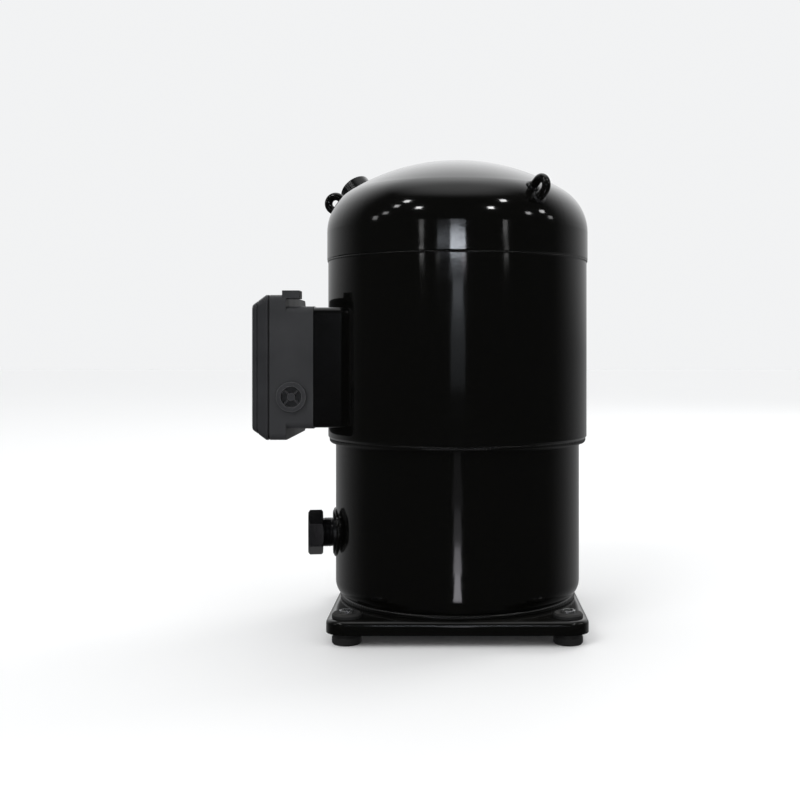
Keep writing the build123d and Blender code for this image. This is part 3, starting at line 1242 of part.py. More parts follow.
with BuildPart() as lower_bearing_bracket:
    bar(BRACKET_R, BRACKET_LOW_Z, BRACKET_HIGH_Z)
    bar(BRACKET_R - 6.0, BRACKET_LOW_Z, BRACKET_HIGH_Z, mode=Mode.SUBTRACT)
    with Locations((0, 0, BRACKET_LOW_Z)):
        with GridLocations(2 * 60.0, 2 * 60.0, 2, 2):
            Box(92.0, 92.0, BRACKET_HIGH_Z - BRACKET_LOW_Z, align=UPWARD, mode=Mode.SUBTRACT)
    with Locations((0, 0, BRACKET_LOW_Z + 6.0)):
        Box(2 * BRACKET_R - 4.0, BRACKET_ARM, BRACKET_ARM_DEPTH, align=UPWARD)
        Box(BRACKET_ARM, 2 * BRACKET_R - 4.0, BRACKET_ARM_DEPTH, align=UPWARD)
    bar(BRACKET_HUB_R, BRACKET_LOW_Z, BRACKET_HIGH_Z)
    bar(LOWER_BORE_R - GAP, BRACKET_LOW_Z, BRACKET_HIGH_Z, mode=Mode.INTERSECT)
    bar(LOWER_BORE_BEARING_R, BRACKET_LOW_Z, BRACKET_HIGH_Z, mode=Mode.SUBTRACT)
lower_bearing_bracket.part.label = "lower_bearing_bracket"
export_step(lower_bearing_bracket.part, "parts/lower_bearing_bracket.step")

with BuildPart() as lower_bearing:
    bar(LOWER_BORE_BEARING_R - GAP, BRACKET_LOW_Z, BRACKET_HIGH_Z)
    bar(LOWER_JOURNAL_R + GAP, BRACKET_LOW_Z, BRACKET_HIGH_Z, mode=Mode.SUBTRACT)
lower_bearing.part.label = "lower_bearing"
export_step(lower_bearing.part, "parts/lower_bearing.step")

with BuildPart() as thrust_washer:
    bar(23.0, BRACKET_HIGH_Z, SHOULDER_Z)
    bar(LOWER_JOURNAL_R + 0.3, BRACKET_HIGH_Z, SHOULDER_Z, mode=Mode.SUBTRACT)
thrust_washer.part.label = "thrust_washer"
export_step(thrust_washer.part, "parts/thrust_washer.step")

with BuildPart() as sump_magnet:
    with Locations((58.0, -48.0, PLATE_TOP + LOWER_WALL)):
        Cylinder(12.0, 6.0, align=UPWARD)
sump_magnet.part.label = "sump_magnet"
export_step(sump_magnet.part, "parts/sump_magnet.step")
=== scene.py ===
"""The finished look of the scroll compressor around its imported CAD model.

Everything is in metres in the part's own frame: +Z up along the crankshaft, z = 0 on the floor, the
terminal box toward -X, and the camera in front, on the -Y side.
"""

import json
import math

import bpy
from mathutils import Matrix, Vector
from mathutils.bvhtree import BVHTree


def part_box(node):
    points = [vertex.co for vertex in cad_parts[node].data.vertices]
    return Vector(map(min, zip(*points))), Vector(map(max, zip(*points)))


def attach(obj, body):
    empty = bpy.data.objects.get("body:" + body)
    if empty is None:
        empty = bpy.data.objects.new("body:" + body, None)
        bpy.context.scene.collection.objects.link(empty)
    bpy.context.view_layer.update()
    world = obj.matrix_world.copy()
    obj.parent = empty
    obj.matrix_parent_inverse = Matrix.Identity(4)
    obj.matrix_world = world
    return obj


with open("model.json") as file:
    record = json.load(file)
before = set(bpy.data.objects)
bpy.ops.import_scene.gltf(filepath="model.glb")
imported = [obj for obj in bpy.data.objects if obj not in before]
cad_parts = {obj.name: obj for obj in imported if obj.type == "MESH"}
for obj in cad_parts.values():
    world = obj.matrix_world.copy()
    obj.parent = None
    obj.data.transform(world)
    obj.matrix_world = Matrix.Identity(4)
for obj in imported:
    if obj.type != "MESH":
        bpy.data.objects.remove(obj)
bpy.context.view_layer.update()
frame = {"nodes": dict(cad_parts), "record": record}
nodes = frame["nodes"]
mounts = {mount["name"]: mount for mount in frame["record"]["mounts"]}
scene = bpy.context.scene

# ---------------------------------------------------------------- places taken from the frame

UP = Vector((0.0, 0.0, 1.0))
SHELL = "shell"

cap_low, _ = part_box("top_cap")
upper_low, upper_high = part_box("upper_shell")
_, plate_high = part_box("base_plate")

UPPER_R = upper_high.x
LOWER_R = 0.1144                     # lower shell, below the step of the girth joint
SEAM_Z = cap_low.z
GIRTH_Z = upper_low.z + 0.0065       # rim of the upper shell, above its weld bead
PLATE_TOP = plate_high.z

# ---------------------------------------------------------------- material nodes


class Finish:
    """A material under construction, with the few node patterns that the finishes share."""

    def __init__(self, name):
        self.name = name
        self.material = bpy.data.materials.new(name)
        self.material.use_nodes = True
        self.tree = self.material.node_tree
        self.tree.nodes.clear()
        output = self.node("ShaderNodeOutputMaterial")
        self.shader = self.node("ShaderNodeBsdfPrincipled")
        self.link(self.shader.outputs["BSDF"], output.inputs["Surface"])
        self.place = self.node("ShaderNodeTexCoord").outputs["Object"]
        self.normal = None

    def node(self, kind, **settings):
        made = self.tree.nodes.new(kind)
        for name, value in settings.items():
            setattr(made, name, value)
        return made

    def link(self, source, target):
        self.tree.links.new(source, target)

    def set(self, **values):
        """Constant values on the shader's own sockets."""
        for name, value in values.items():
            self.shader.inputs[name.replace("_", " ")].default_value = value

    def stretched(self, scale):
        """The object's coordinates, scaled by a different factor along each axis."""
        mapping = self.node("ShaderNodeMapping")
        mapping.inputs["Scale"].default_value = scale
        self.link(self.place, mapping.inputs["Vector"])
        return mapping.outputs["Vector"]

    def noise(self, scale, detail=3.0, roughness=0.5, place=None):
        made = self.node("ShaderNodeTexNoise")
        made.inputs["Scale"].default_value = scale
        made.inputs["Detail"].default_value = detail
        made.inputs["Roughness"].default_value = roughness
        self.link(place or self.place, made.inputs["Vector"])
        return made.outputs["Fac"]

    def cells(self, scale):
        made = self.node("ShaderNodeTexVoronoi")
        made.inputs["Scale"].default_value = scale
        self.link(self.place, made.inputs["Vector"])
        return made.outputs["Distance"]

    def wave(self, scale, kind="BANDS", distortion=0.0):
        """Bands up the part or rings round it."""
        made = self.node("ShaderNodeTexWave", wave_type=kind, bands_direction="Z", rings_direction="Z")
        made.inputs["Scale"].default_value = scale
        made.inputs["Distortion"].default_value = distortion
        self.link(self.place, made.inputs["Vector"])
        return made.outputs["Fac"]

    def span(self, value, low, high, to_low=0.0, to_high=1.0):
        """Maps a value from one range to another and stops at its ends."""
        made = self.node("ShaderNodeMapRange", clamp=True)
        for name, number in (
            ("From Min", low),
            ("From Max", high),
            ("To Min", to_low),
            ("To Max", to_high),
        ):
            made.inputs[name].default_value = number
        self.link(value, made.inputs["Value"])
        return made.outputs["Result"]

    def maths(self, operation, first, second):
        made = self.node("ShaderNodeMath", operation=operation)
        for socket, value in zip(made.inputs, (first, second)):
            if isinstance(value, (int, float)):
                socket.default_value = value
            else:
                self.link(value, socket)
        return made.outputs["Value"]

    def blend(self, factor, first, second):
        """A colour between two others, each a colour or a socket."""
        made = self.node("ShaderNodeMix", data_type="RGBA")
        self.link(factor, made.inputs["Factor"])
        for name, value in (("A", first), ("B", second)):
            socket = [s for s in made.inputs if s.name == name and s.type == "RGBA"][0]
            if isinstance(value, tuple):
                socket.default_value = (*value, 1.0)
            else:
                self.link(value, socket)
        return [s for s in made.outputs if s.type == "RGBA"][0]

    def colour(self, value):
        if isinstance(value, tuple):
            self.shader.inputs["Base Color"].default_value = (*value, 1.0)
        else:
            self.link(value, self.shader.inputs["Base Color"])

    def roughness(self, value):
        self.link(value, self.shader.inputs["Roughness"])

    def bump(self, height, strength, distance):
        """Adds relief; several calls stack."""
        made = self.node("ShaderNodeBump")
        made.inputs["Strength"].default_value = strength
        made.inputs["Distance"].default_value = distance
        self.link(height, made.inputs["Height"])
        if self.normal is not None:
            self.link(self.normal, made.inputs["Normal"])
        self.normal = made.outputs["Normal"]
        self.link(self.normal, self.shader.inputs["Normal"])

    def soft_edges(self, radius):
        """Rounds sharp edges in the shading. Called before any bump."""
        made = self.node("ShaderNodeBevel", samples=4)
        made.inputs["Radius"].default_value = radius
        self.normal = made.outputs["Normal"]
        self.link(self.normal, self.shader.inputs["Normal"])

    def edges(self, radius, reach):
        """1 along the sharp edges of a piece and 0 on its faces."""
        rounded = self.node("ShaderNodeBevel", samples=4)
        rounded.inputs["Radius"].default_value = radius
        flat = self.node("ShaderNodeNewGeometry").outputs["Normal"]
        made = self.node("ShaderNodeVectorMath", operation="DOT_PRODUCT")
        self.link(rounded.outputs["Normal"], made.inputs[0])
        self.link(flat, made.inputs[1])
        return self.span(made.outputs["Value"], 1.0 - reach, 1.0, 1.0, 0.0)

    def upward(self, low, high):
        """How far a face looks up, from 0 to 1 between two values of its normal's height."""
        split = self.node("ShaderNodeSeparateXYZ")
        self.link(self.node("ShaderNodeNewGeometry").outputs["Normal"], split.inputs[0])
        return self.span(split.outputs["Z"], low, high)


def enamel(name, colour, dust, gloss, dust_share=0.5, peel=0.06):
    """Baked enamel: orange peel, faint waves of the steel below, and a little dust where it looks up."""
    finish = Finish(name)
    blotch = finish.noise(24.0, 4.0, 0.6)
    specks = finish.span(finish.noise(1400.0, 2.0, 0.7), 0.62, 0.78)
    settled = finish.maths("MULTIPLY", finish.upward(0.35, 1.0), finish.span(blotch, 0.35, 0.75))
    soiled = finish.maths("MULTIPLY", settled, dust_share)
    marks = finish.maths("MAXIMUM", soiled, finish.maths("MULTIPLY", specks, 0.25))
    finish.colour(finish.blend(marks, colour, dust))
    smear = finish.span(finish.noise(60.0, 5.0, 0.65), 0.3, 0.8, gloss[0], gloss[1])
    finish.roughness(finish.maths("ADD", smear, finish.maths("MULTIPLY", soiled, 0.25)))
    finish.set(IOR=1.5, Coat_Weight=0.0)
    finish.bump(finish.noise(11.0, 2.0, 0.5), 0.10, 0.0016)
    finish.bump(finish.noise(340.0, 2.0, 0.5), peel, 0.0004)
    return finish


def moulded(name, colour, pale, roughness, grain=1500.0, depth=0.00012, wear=0.25):
    """Moulded plastic: a fine spark-eroded grain, rubbed paler along its edges."""
    finish = Finish(name)
    mottle = finish.noise(38.0, 5.0, 0.6)
    base = finish.blend(finish.span(mottle, 0.3, 0.75), colour, tuple(c * 1.35 for c in colour))
    scuffs = finish.span(finish.noise(170.0, 5.0, 0.7, finish.stretched((1.0, 1.0, 0.25))), 0.64, 0.8)
    rubbed = finish.maths("MULTIPLY", finish.edges(0.0009, 0.12), finish.span(mottle, 0.3, 0.6))
    marks = finish.maths("MAXIMUM", finish.maths("MULTIPLY", scuffs, 0.35), rubbed)
    finish.colour(finish.blend(finish.maths("MULTIPLY", marks, wear), base, pale))
    finish.roughness(finish.span(mottle, 0.25, 0.8, roughness - 0.07, roughness + 0.07))
    finish.soft_edges(0.0007)
    finish.bump(finish.cells(grain), 0.35, depth)
    finish.bump(finish.noise(90.0, 3.0, 0.5), 0.15, 0.0003)
    return finish


def metal(name, colour, stain, roughness, grain=900.0, depth=0.00008, lines=None, blotch=55.0):
    """Bare or plated metal. Lines is an optional stretch of the grain along one axis."""
    finish = Finish(name)
    patch = finish.noise(blotch, 5.0, 0.65)
    finish.colour(finish.blend(finish.span(patch, 0.42, 0.72), colour, stain))
    finish.set(Metallic=1.0)
    finish.roughness(finish.span(patch, 0.3, 0.75, roughness - 0.06, roughness + 0.12))
    finish.soft_edges(0.0004)
    place = finish.stretched(lines) if lines else None
    finish.bump(finish.noise(grain, 4.0, 0.6, place), 0.4, depth)
    return finish


def casting(name, colour, dark, roughness):
    """Sand-cast metal: coarse skin with a fine grain."""
    finish = Finish(name)
    patch = finish.noise(70.0, 5.0, 0.65)
    finish.colour(finish.blend(finish.span(patch, 0.35, 0.7), colour, dark))
    finish.set(Metallic=0.9)
    finish.roughness(finish.span(patch, 0.3, 0.7, roughness, roughness + 0.15))
    finish.bump(finish.noise(420.0, 4.0, 0.7), 0.6, 0.0003)
    finish.bump(finish.cells(1300.0), 0.25, 0.0001)
    return finish


def rubber(name, colour, chalk):
    """Rubber or soft plastic, chalky where it looks up."""
    finish = Finish(name)
    patch = finish.noise(120.0, 5.0, 0.65)
    dusty = finish.maths("MULTIPLY", finish.upward(0.2, 1.0), finish.span(patch, 0.35, 0.7))
    finish.colour(finish.blend(dusty, colour, chalk))
    finish.roughness(finish.span(patch, 0.3, 0.7, 0.62, 0.85))
    finish.soft_edges(0.0006)
    finish.bump(finish.noise(900.0, 3.0, 0.7), 0.4, 0.0002)
    return finish


def layered(name, colour, gap, pitch, roughness):
    """Stacked sheet steel: a fine groove across the stack at each pitch."""
    finish = Finish(name)
    sheets = finish.wave(math.pi / 10.0 / pitch, distortion=0.1)
    finish.colour(finish.blend(finish.span(sheets, 0.05, 0.45), gap, colour))
    finish.set(Metallic=0.9)
    finish.roughness(finish.span(finish.noise(80.0, 4.0), 0.3, 0.7, roughness, roughness + 0.15))
    finish.bump(sheets, 0.5, 0.0002)
    return finish


def enamelled_wire(name, shade, copper):
    """Bundled copper wire: rings of strands round the motor, under varnish, with painted shade in the
    gaps between strands.
    """
    finish = Finish(name)
    strands = finish.wave(210.0, "RINGS", 1.6)
    across = finish.wave(160.0, "BANDS", 2.5)
    pile = finish.maths("MAXIMUM", strands, finish.maths("MULTIPLY", across, 0.7))
    # painted shade: the colour falls to the shade colour where the strand pile is low, in the gaps
    # between strands
    finish.colour(finish.blend(finish.span(pile, 0.1, 0.8), shade, copper))
    finish.set(Metallic=0.85)
    finish.roughness(finish.span(finish.noise(90.0, 4.0), 0.3, 0.7, 0.26, 0.42))
    finish.bump(pile, 0.8, 0.0006)
    return finish


def glassy(name, colour, roughness, transmission):
    """Pressed glass with faint streaks."""
    finish = Finish(name)
    streak = finish.noise(140.0, 3.0, 0.6)
    darker = tuple(c * 0.8 for c in colour)
    finish.colour(finish.blend(finish.span(streak, 0.35, 0.7), colour, darker))
    finish.roughness(finish.span(streak, 0.3, 0.7, roughness, roughness + 0.05))
    finish.set(Transmission_Weight=transmission, IOR=1.5)
    finish.bump(finish.noise(260.0, 2.0), 0.05, 0.0002)
    return finish


BLACK = (0.0013, 0.0013, 0.0011)
DUST = (0.035, 0.034, 0.031)
ALONG_SHAFT = (1.0, 1.0, 14.0)       # grain stretched along Z, as turning leaves it
ALONG_BEARING = (1.0, 1.0, 9.0)

all_finishes = (
    enamel("black_enamel", BLACK, DUST, (0.06, 0.11), 0.30, 0.02),
    enamel("fitting_enamel", (0.0030, 0.0030, 0.0034), (0.03, 0.03, 0.03), (0.16, 0.26), 0.25, 0.05),
    enamel("saddle_enamel", (0.0016, 0.0016, 0.0016), (0.015, 0.015, 0.015), (0.10, 0.15), 0.2, 0.1),
    moulded("box_plastic", (0.022, 0.0225, 0.0245), (0.11, 0.11, 0.11), 0.5),
    moulded("cover_plastic", (0.017, 0.0175, 0.0195), (0.10, 0.10, 0.10), 0.46),
    moulded("plug_plastic", (0.020, 0.020, 0.022), (0.16, 0.16, 0.16), 0.36, wear=0.7),
    moulded("phenolic", (0.030, 0.012, 0.006), (0.09, 0.06, 0.04), 0.4, grain=800.0),
    rubber("mount_rubber", (0.010, 0.010, 0.010), (0.05, 0.048, 0.045)),
    rubber("gasket_foam", (0.014, 0.014, 0.015), (0.03, 0.03, 0.03)),
    rubber("ptfe", (0.62, 0.61, 0.58), (0.72, 0.71, 0.68)),
    rubber("lead_insulation", (0.42, 0.035, 0.02), (0.5, 0.08, 0.05)),
    metal("plated_steel", (0.66, 0.67, 0.69), (0.50, 0.50, 0.47), 0.24),
    metal("terminal_steel", (0.50, 0.50, 0.49), (0.32, 0.31, 0.29), 0.30),
    metal("pin_steel", (0.60, 0.60, 0.60), (0.40, 0.39, 0.37), 0.22),
    metal("brass", (0.72, 0.52, 0.20), (0.42, 0.28, 0.10), 0.26),
    metal("pressed_steel", (0.33, 0.33, 0.33), (0.20, 0.19, 0.18), 0.38, 500.0),
    metal("valve_steel", (0.56, 0.56, 0.57), (0.38, 0.38, 0.38), 0.2),
    metal("bolt_steel", (0.12, 0.12, 0.13), (0.07, 0.065, 0.06), 0.34),
    metal("shaft_steel", (0.52, 0.52, 0.53), (0.36, 0.35, 0.34), 0.16, 700.0, 0.00006, ALONG_SHAFT),
    metal("bearing_bronze", (0.60, 0.40, 0.19), (0.38, 0.24, 0.11), 0.28, lines=ALONG_BEARING),
    metal("oldham_aluminium", (0.64, 0.65, 0.66), (0.48, 0.48, 0.48), 0.32),
    metal("cage_aluminium", (0.62, 0.62, 0.63), (0.44, 0.44, 0.44), 0.4),
    casting("cast_iron", (0.22, 0.22, 0.22), (0.12, 0.115, 0.11), 0.42),
    casting("counterweight_iron", (0.16, 0.155, 0.15), (0.09, 0.085, 0.08), 0.48),
    casting("ferrite", (0.05, 0.05, 0.055), (0.03, 0.03, 0.03), 0.5),
    layered("laminations", (0.20, 0.20, 0.22), (0.05, 0.05, 0.05), 0.0024, 0.4),
    # the windings' first colour is painted shade for the gaps between their strands
    enamelled_wire("winding_copper", (0.16, 0.045, 0.015), (0.62, 0.25, 0.09)),
    glassy("sight_glass", (0.70, 0.78, 0.74), 0.03, 0.9),
    glassy("terminal_glass", (0.05, 0.16, 0.12), 0.12, 0.35),
)
finishes = {finish.name: finish.material for finish in all_finishes}

for node in nodes.values():
    for slot in node.material_slots:
        slot_name = slot.material.name.split(".")[0]
        slot.material = finishes[slot_name]

# ---------------------------------------------------------------- pieces built in mesh code


def add_piece(name, points, faces, finish, body, smooth=True):
    """A mesh piece that rides on a body."""
    mesh = bpy.data.meshes.new(name)
    mesh.from_pydata([tuple(p) for p in points], [], faces)
    mesh.update()
    if smooth:
        mesh.shade_smooth()
    mesh.materials.append(finishes[finish])
    piece = bpy.data.objects.new(name, mesh)
    scene.collection.objects.link(piece)
    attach(piece, body)
    return piece


def closed_tube(path, frames, section, rings_closed=True):
    """Points and faces of a tube along a path. section(i, j) gives each ring's offsets in its frame."""
    count = len(path)
    sides = len(section(0))
    points = []
    for index, (centre, (normal, side)) in enumerate(zip(path, frames)):
        for along, across in section(index):
            points.append(centre + normal * along + side * across)
    faces = []
    last = count if rings_closed else count - 1
    for ring in range(last):
        here = ring * sides
        there = (ring + 1) % count * sides
        for j in range(sides):
            k = (j + 1) % sides
            faces.append((here + j, here + k, there + k, there + j))
    if not rings_closed:
        faces.append(tuple(reversed(range(sides))))
        faces.append(tuple((count - 1) * sides + j for j in range(sides)))
    return points, faces


RIPPLE_LEAN = 0.22                   # how far a ripple's ends trail behind its middle, in ripples
SWELLS = 3                           # thicker places along a bead
SWELL_SHARE = 0.05


def weld_bead(name, path, outward, radius, finish="black_enamel", pitch=0.0026, sides=10, depth=0.13):
    """A run of weld along a closed path, with the overlapping ripples that a torch leaves."""
    count = len(path)
    length = sum((path[i] - path[i - 1]).length for i in range(count))
    ripples = max(8, round(length / pitch))
    frames = []
    for index in range(count):
        tangent = (path[(index + 1) % count] - path[index - 1]).normalized()
        normal = outward[index] - tangent * outward[index].dot(tangent)
        normal.normalize()
        frames.append((normal, tangent.cross(normal)))

    def section(index=0):
        ring = []
        for side in range(sides):
            angle = 2 * math.pi * side / sides
            phase = ripples * index / count + RIPPLE_LEAN * math.cos(angle)
            crest = abs(math.sin(math.pi * phase))
            swell = 1.0 + SWELL_SHARE * math.sin(2 * math.pi * SWELLS * index / count + 1.0)
            size = radius * swell * (1.0 - depth + depth * crest)
            ring.append((size * math.cos(angle), size * math.sin(angle)))
        return ring

    points, faces = closed_tube(path, frames, section)
    return add_piece(name, points, faces, finish, SHELL)


def circle_path(radius, height, count):
    """Points on a level circle round the shaft's axis."""
    return [
        Vector((radius * math.cos(turn), radius * math.sin(turn), height))
        for turn in (2 * math.pi * i / count for i in range(count))
    ]


def tree_of(*names):
    """One ray-casting tree for the named CAD nodes."""
    points = []
    faces = []
    for name in names:
        mesh = nodes[name].data
        start = len(points)
        points.extend(v.co.copy() for v in mesh.vertices)
        faces.extend(tuple(start + v for v in p.vertices) for p in mesh.polygons)
    return BVHTree.FromPolygons(points, faces)


WELD_RAY = 0.06                      # length of a search ray on each side of a part's foot


def weld_round(name, origin, axis, radius, surface, bead, count=160, finish="black_enamel"):
    """A weld where a round part stands on the shell: its path is where the part's wall meets it."""
    axis = axis.normalized()
    first = axis.orthogonal().normalized()
    second = axis.cross(first)
    path = []
    outward = []
    for i in range(count):
        turn = 2 * math.pi * i / count
        spoke = first * math.cos(turn) + second * math.sin(turn)
        start = origin + spoke * radius + axis * WELD_RAY
        hit, normal, _, _ = surface.ray_cast(start, -axis, 2 * WELD_RAY)
        if hit is None:
            continue
        if normal.dot(axis) < 0:
            normal = -normal
        path.append(hit + spoke * bead * 0.25)
        outward.append((normal + spoke).normalized())
    return weld_bead(name, path, outward, bead, finish)


# Welds round the shell. An inset is the distance from the wall to the middle of the bead.
GIRTH_BEAD_R = 0.0032
GIRTH_INSET = 0.0042
girth_path = circle_path(UPPER_R - GIRTH_INSET, GIRTH_Z - GIRTH_INSET, 1470)
girth_outward = [Vector((p.x, p.y, -0.05)) for p in girth_path]
weld_bead("girth_weld", girth_path, girth_outward, GIRTH_BEAD_R, pitch=0.0032)

SEAM_BEAD_R = 0.0015
SEAM_INSET = 0.0007
SEAM_DROP = 0.0004
seam_path = circle_path(UPPER_R - SEAM_INSET, SEAM_Z - SEAM_DROP, 1180)
seam_outward = [Vector((p.x, p.y, 0)) for p in seam_path]
weld_bead("cap_seam_weld", seam_path, seam_outward, SEAM_BEAD_R, pitch=0.0034, sides=8, depth=0.2)

FOOT_BEAD_R = 0.0034
FOOT_INSET = 0.0075
FOOT_RISE = 0.0018
foot_path = circle_path(LOWER_R - FOOT_INSET, PLATE_TOP + FOOT_RISE, 900)
foot_outward = [Vector((p.x, p.y, 0.06)) for p in foot_path]
weld_bead("base_weld", foot_path, foot_outward, FOOT_BEAD_R, pitch=0.0034)

# Welds round the fittings on the shell
FITTING_BEAD_R = 0.0024
THIN_BEAD_R = 0.0020
STUB_R = 0.0162
SUCTION_BOSS_R = 0.0262
NECK_R = 0.0202

cap_surface = tree_of("top_cap")
upper_surface = tree_of("upper_shell")
lower_surface = tree_of("lower_shell")

stub = mounts["discharge_socket"]
stub_axis = Vector(stub["axis"])
stub_foot = Vector(stub["pos_m"]) - stub_axis * 0.03
weld_round("discharge_weld", stub_foot, stub_axis, STUB_R, cap_surface, FITTING_BEAD_R)

suction = mounts["suction_socket"]
suction_axis = Vector(suction["axis"])
suction_foot = Vector((0.0, UPPER_R, suction["pos_m"][2]))
weld_round(
    "suction_boss_weld", suction_foot, suction_axis, SUCTION_BOSS_R, upper_surface, FITTING_BEAD_R, 220
)

sight_low, sight_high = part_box("sight_glass_adaptor")
SIGHT_TURN = math.radians(8.0)
sight_axis = Vector((-math.cos(SIGHT_TURN), -math.sin(SIGHT_TURN), 0.0))
sight_height = (sight_low.z + sight_high.z) / 2
sight_foot = sight_axis * LOWER_R + UP * sight_height
weld_round("sight_glass_weld", sight_foot, sight_axis, NECK_R, lower_surface, THIN_BEAD_R, 180)

# Lifting rings: a fillet weld round each leg
RING_SLOPE = math.radians(35.0)
RING_FOOT_R = 0.1195                 # from the shaft's axis to the middle between the legs' feet
RING_FOOT_RISE = 0.3713              # above the base plate
LEG_OFFSET = 0.0069                  # of each leg from that middle
LEG_WELD_R = 0.0039
for name, turn in (("left", 170.0), ("front", -53.0)):
    facing = Vector((math.cos(math.radians(turn)), math.sin(math.radians(turn)), 0.0))
    leg = facing * math.cos(RING_SLOPE) + UP * math.sin(RING_SLOPE)
    spread = UP * math.cos(RING_SLOPE) - facing * math.sin(RING_SLOPE)
    centre = facing * RING_FOOT_R + UP * (PLATE_TOP + RING_FOOT_RISE)
    for number, side in enumerate((-1, 1)):
        weld_name = f"ring_weld_{name}_{number + 1}"
        foot = centre + spread * side * LEG_OFFSET
        weld_round(weld_name, foot, leg, LEG_WELD_R, cap_surface, THIN_BEAD_R, 72, "fitting_enamel")


STEPS_PER_TURN = 48


def thread(name, origin, axis, radius, start, end, pitch, finish, body):
    """A helical ridge round a neck, which fades out at both ends."""
    first = axis.orthogonal().normalized()
    second = axis.cross(first)
    turns = (end - start) / pitch
    steps = round(turns * STEPS_PER_TURN)
    path = []
    frames = []
    for i in range(steps + 1):
        turn = 2 * math.pi * turns * i / steps
        spoke = first * math.cos(turn) + second * math.sin(turn)
        path.append(origin + axis * (start + (end - start) * i / steps) + spoke * radius)
        frames.append((spoke, axis))

    def section(index=0):
        fade = min(1.0, index / 30.0, (steps - index) / 30.0)
        crest = 0.00012 + 0.00050 * fade
        return [(crest, 0.0), (0.0, pitch * 0.42), (-0.0004, 0.0), (0.0, -pitch * 0.42)]

    points, faces = closed_tube(path, frames, section, rings_closed=False)
    return add_piece(name, points, faces, finish, body, smooth=False)


# The thread on the sight-glass neck, from and to a distance from the shaft's axis
THREAD_R = 0.0130
THREAD_START = 0.1178
THREAD_END = 0.1258
THREAD_PITCH = 0.0015
thread(
    "sight_glass_thread",
    UP * sight_height,
    sight_axis,
    THREAD_R,
    THREAD_START,
    THREAD_END,
    THREAD_PITCH,
    "fitting_enamel",
    SHELL,
)

# ---------------------------------------------------------------- floor, light and camera

FLOOR_SIZE = 30.0
floor_finish = Finish("studio_floor")
sweep = floor_finish.noise(2.0, 4.0, 0.5)
floor_finish.colour(floor_finish.blend(sweep, (0.885, 0.885, 0.885), (0.895, 0.895, 0.892)))
floor_finish.roughness(floor_finish.span(sweep, 0.3, 0.7, 0.55, 0.65))
floor_mesh = bpy.data.meshes.new("floor")
half = FLOOR_SIZE / 2
floor_mesh.from_pydata(
    [(-half, -half, 0), (half, -half, 0), (half, half, 0), (-half, half, 0)],
    [],
    [(0, 1, 2, 3)],
)
floor_mesh.materials.append(floor_finish.material)
floor = bpy.data.objects.new("floor", floor_mesh)
scene.collection.objects.link(floor)
floor.visible_glossy = False

world = bpy.data.worlds.new("studio")
scene.world = world
world.use_nodes = True
sky = world.node_tree
sky.nodes.clear()
sky_output = sky.nodes.new("ShaderNodeOutputWorld")
rays = sky.nodes.new("ShaderNodeLightPath")
direction = sky.nodes.new("ShaderNodeTexCoord")
split = sky.nodes.new("ShaderNodeSeparateXYZ")
sky.links.new(direction.outputs["Generated"], split.inputs[0])


def sky_maths(operation, first, second):
    made = sky.nodes.new("ShaderNodeMath")
    made.operation = operation
    for socket, value in zip(made.inputs, (first, second)):
        if isinstance(value, (int, float)):
            socket.default_value = value
        else:
            sky.links.new(value, socket)
    return made.outputs["Value"]


def sky_span(value, low, high, to_low, to_high):
    made = sky.nodes.new("ShaderNodeMapRange")
    made.interpolation_type = "SMOOTHSTEP"
    for name, number in (("From Min", low), ("From Max", high), ("To Min", to_low), ("To Max", to_high)):
        made.inputs[name].default_value = number
    sky.links.new(value, made.inputs["Value"])
    return made.outputs["Result"]


# What the enamel mirrors: a dark room on the camera's side, walls that brighten upwards behind the
# part, a little more on the right, and a pale ceiling
ROOM_DARK = 0.035
behind = sky_span(split.outputs["Y"], -0.02, 1.0, 0.0, 1.0)
height = sky_maths("MAXIMUM", split.outputs["Z"], 0.0)
lift = sky_maths("ADD", sky_maths("MULTIPLY", height, 2.8), 0.26)
right_side = sky_span(split.outputs["X"], -0.4, 0.8, 1.0, 1.1)
overhead = sky_span(split.outputs["Z"], 0.80, 1.0, 0.0, 0.9)
walls = sky_maths("MULTIPLY", sky_maths("MULTIPLY", behind, lift), right_side)
reflected = sky_maths("ADD", sky_maths("ADD", walls, overhead), ROOM_DARK)
is_gloss = rays.outputs["Is Glossy Ray"]
is_camera = rays.outputs["Is Camera Ray"]


def sky_blend(factor, first, second):
    """first where the factor is 0 and second where it is 1."""
    change = sky_maths("SUBTRACT", second, first)
    return sky_maths("ADD", first, sky_maths("MULTIPLY", factor, change))


AMBIENT = 0.98                       # on rough surfaces
BACKDROP = 0.90                      # what the camera sees behind the part
level = sky_blend(is_camera, sky_blend(is_gloss, AMBIENT, reflected), BACKDROP)
background = sky.nodes.new("ShaderNodeBackground")
background.inputs["Color"].default_value = (0.985, 0.992, 1.0, 1.0)
sky.links.new(level, background.inputs["Strength"])
sky.links.new(background.outputs["Background"], sky_output.inputs["Surface"])


WHITE = (1.0, 1.0, 1.0)
COOL = (0.86, 0.92, 1.0)
ROSE = (1.0, 0.86, 0.92)
VIOLET = (0.95, 0.93, 1.0)


def panel(name, place, target, size, power, tint=WHITE):
    """A flat lamp that looks at a point and is itself out of the picture."""
    lamp = bpy.data.lights.new(name, "AREA")
    lamp.shape = "RECTANGLE"
    lamp.size = size[0]
    lamp.size_y = size[1]
    lamp.energy = power
    lamp.color = tint
    holder = bpy.data.objects.new(name, lamp)
    scene.collection.objects.link(holder)
    holder.location = place
    holder.rotation_euler = (Vector(target) - Vector(place)).to_track_quat("-Z", "Y").to_euler()
    holder.visible_camera = False
    return holder


key = panel("key_light", (-1.6, -2.4, 2.6), (0, 0, 0.2), (1.6, 1.6), 40.0)
key.visible_glossy = False
rim = panel("rim_light", (2.2, 2.0, 2.2), (0, 0, 0.25), (1.4, 1.4), 30.0)
rim.visible_glossy = False

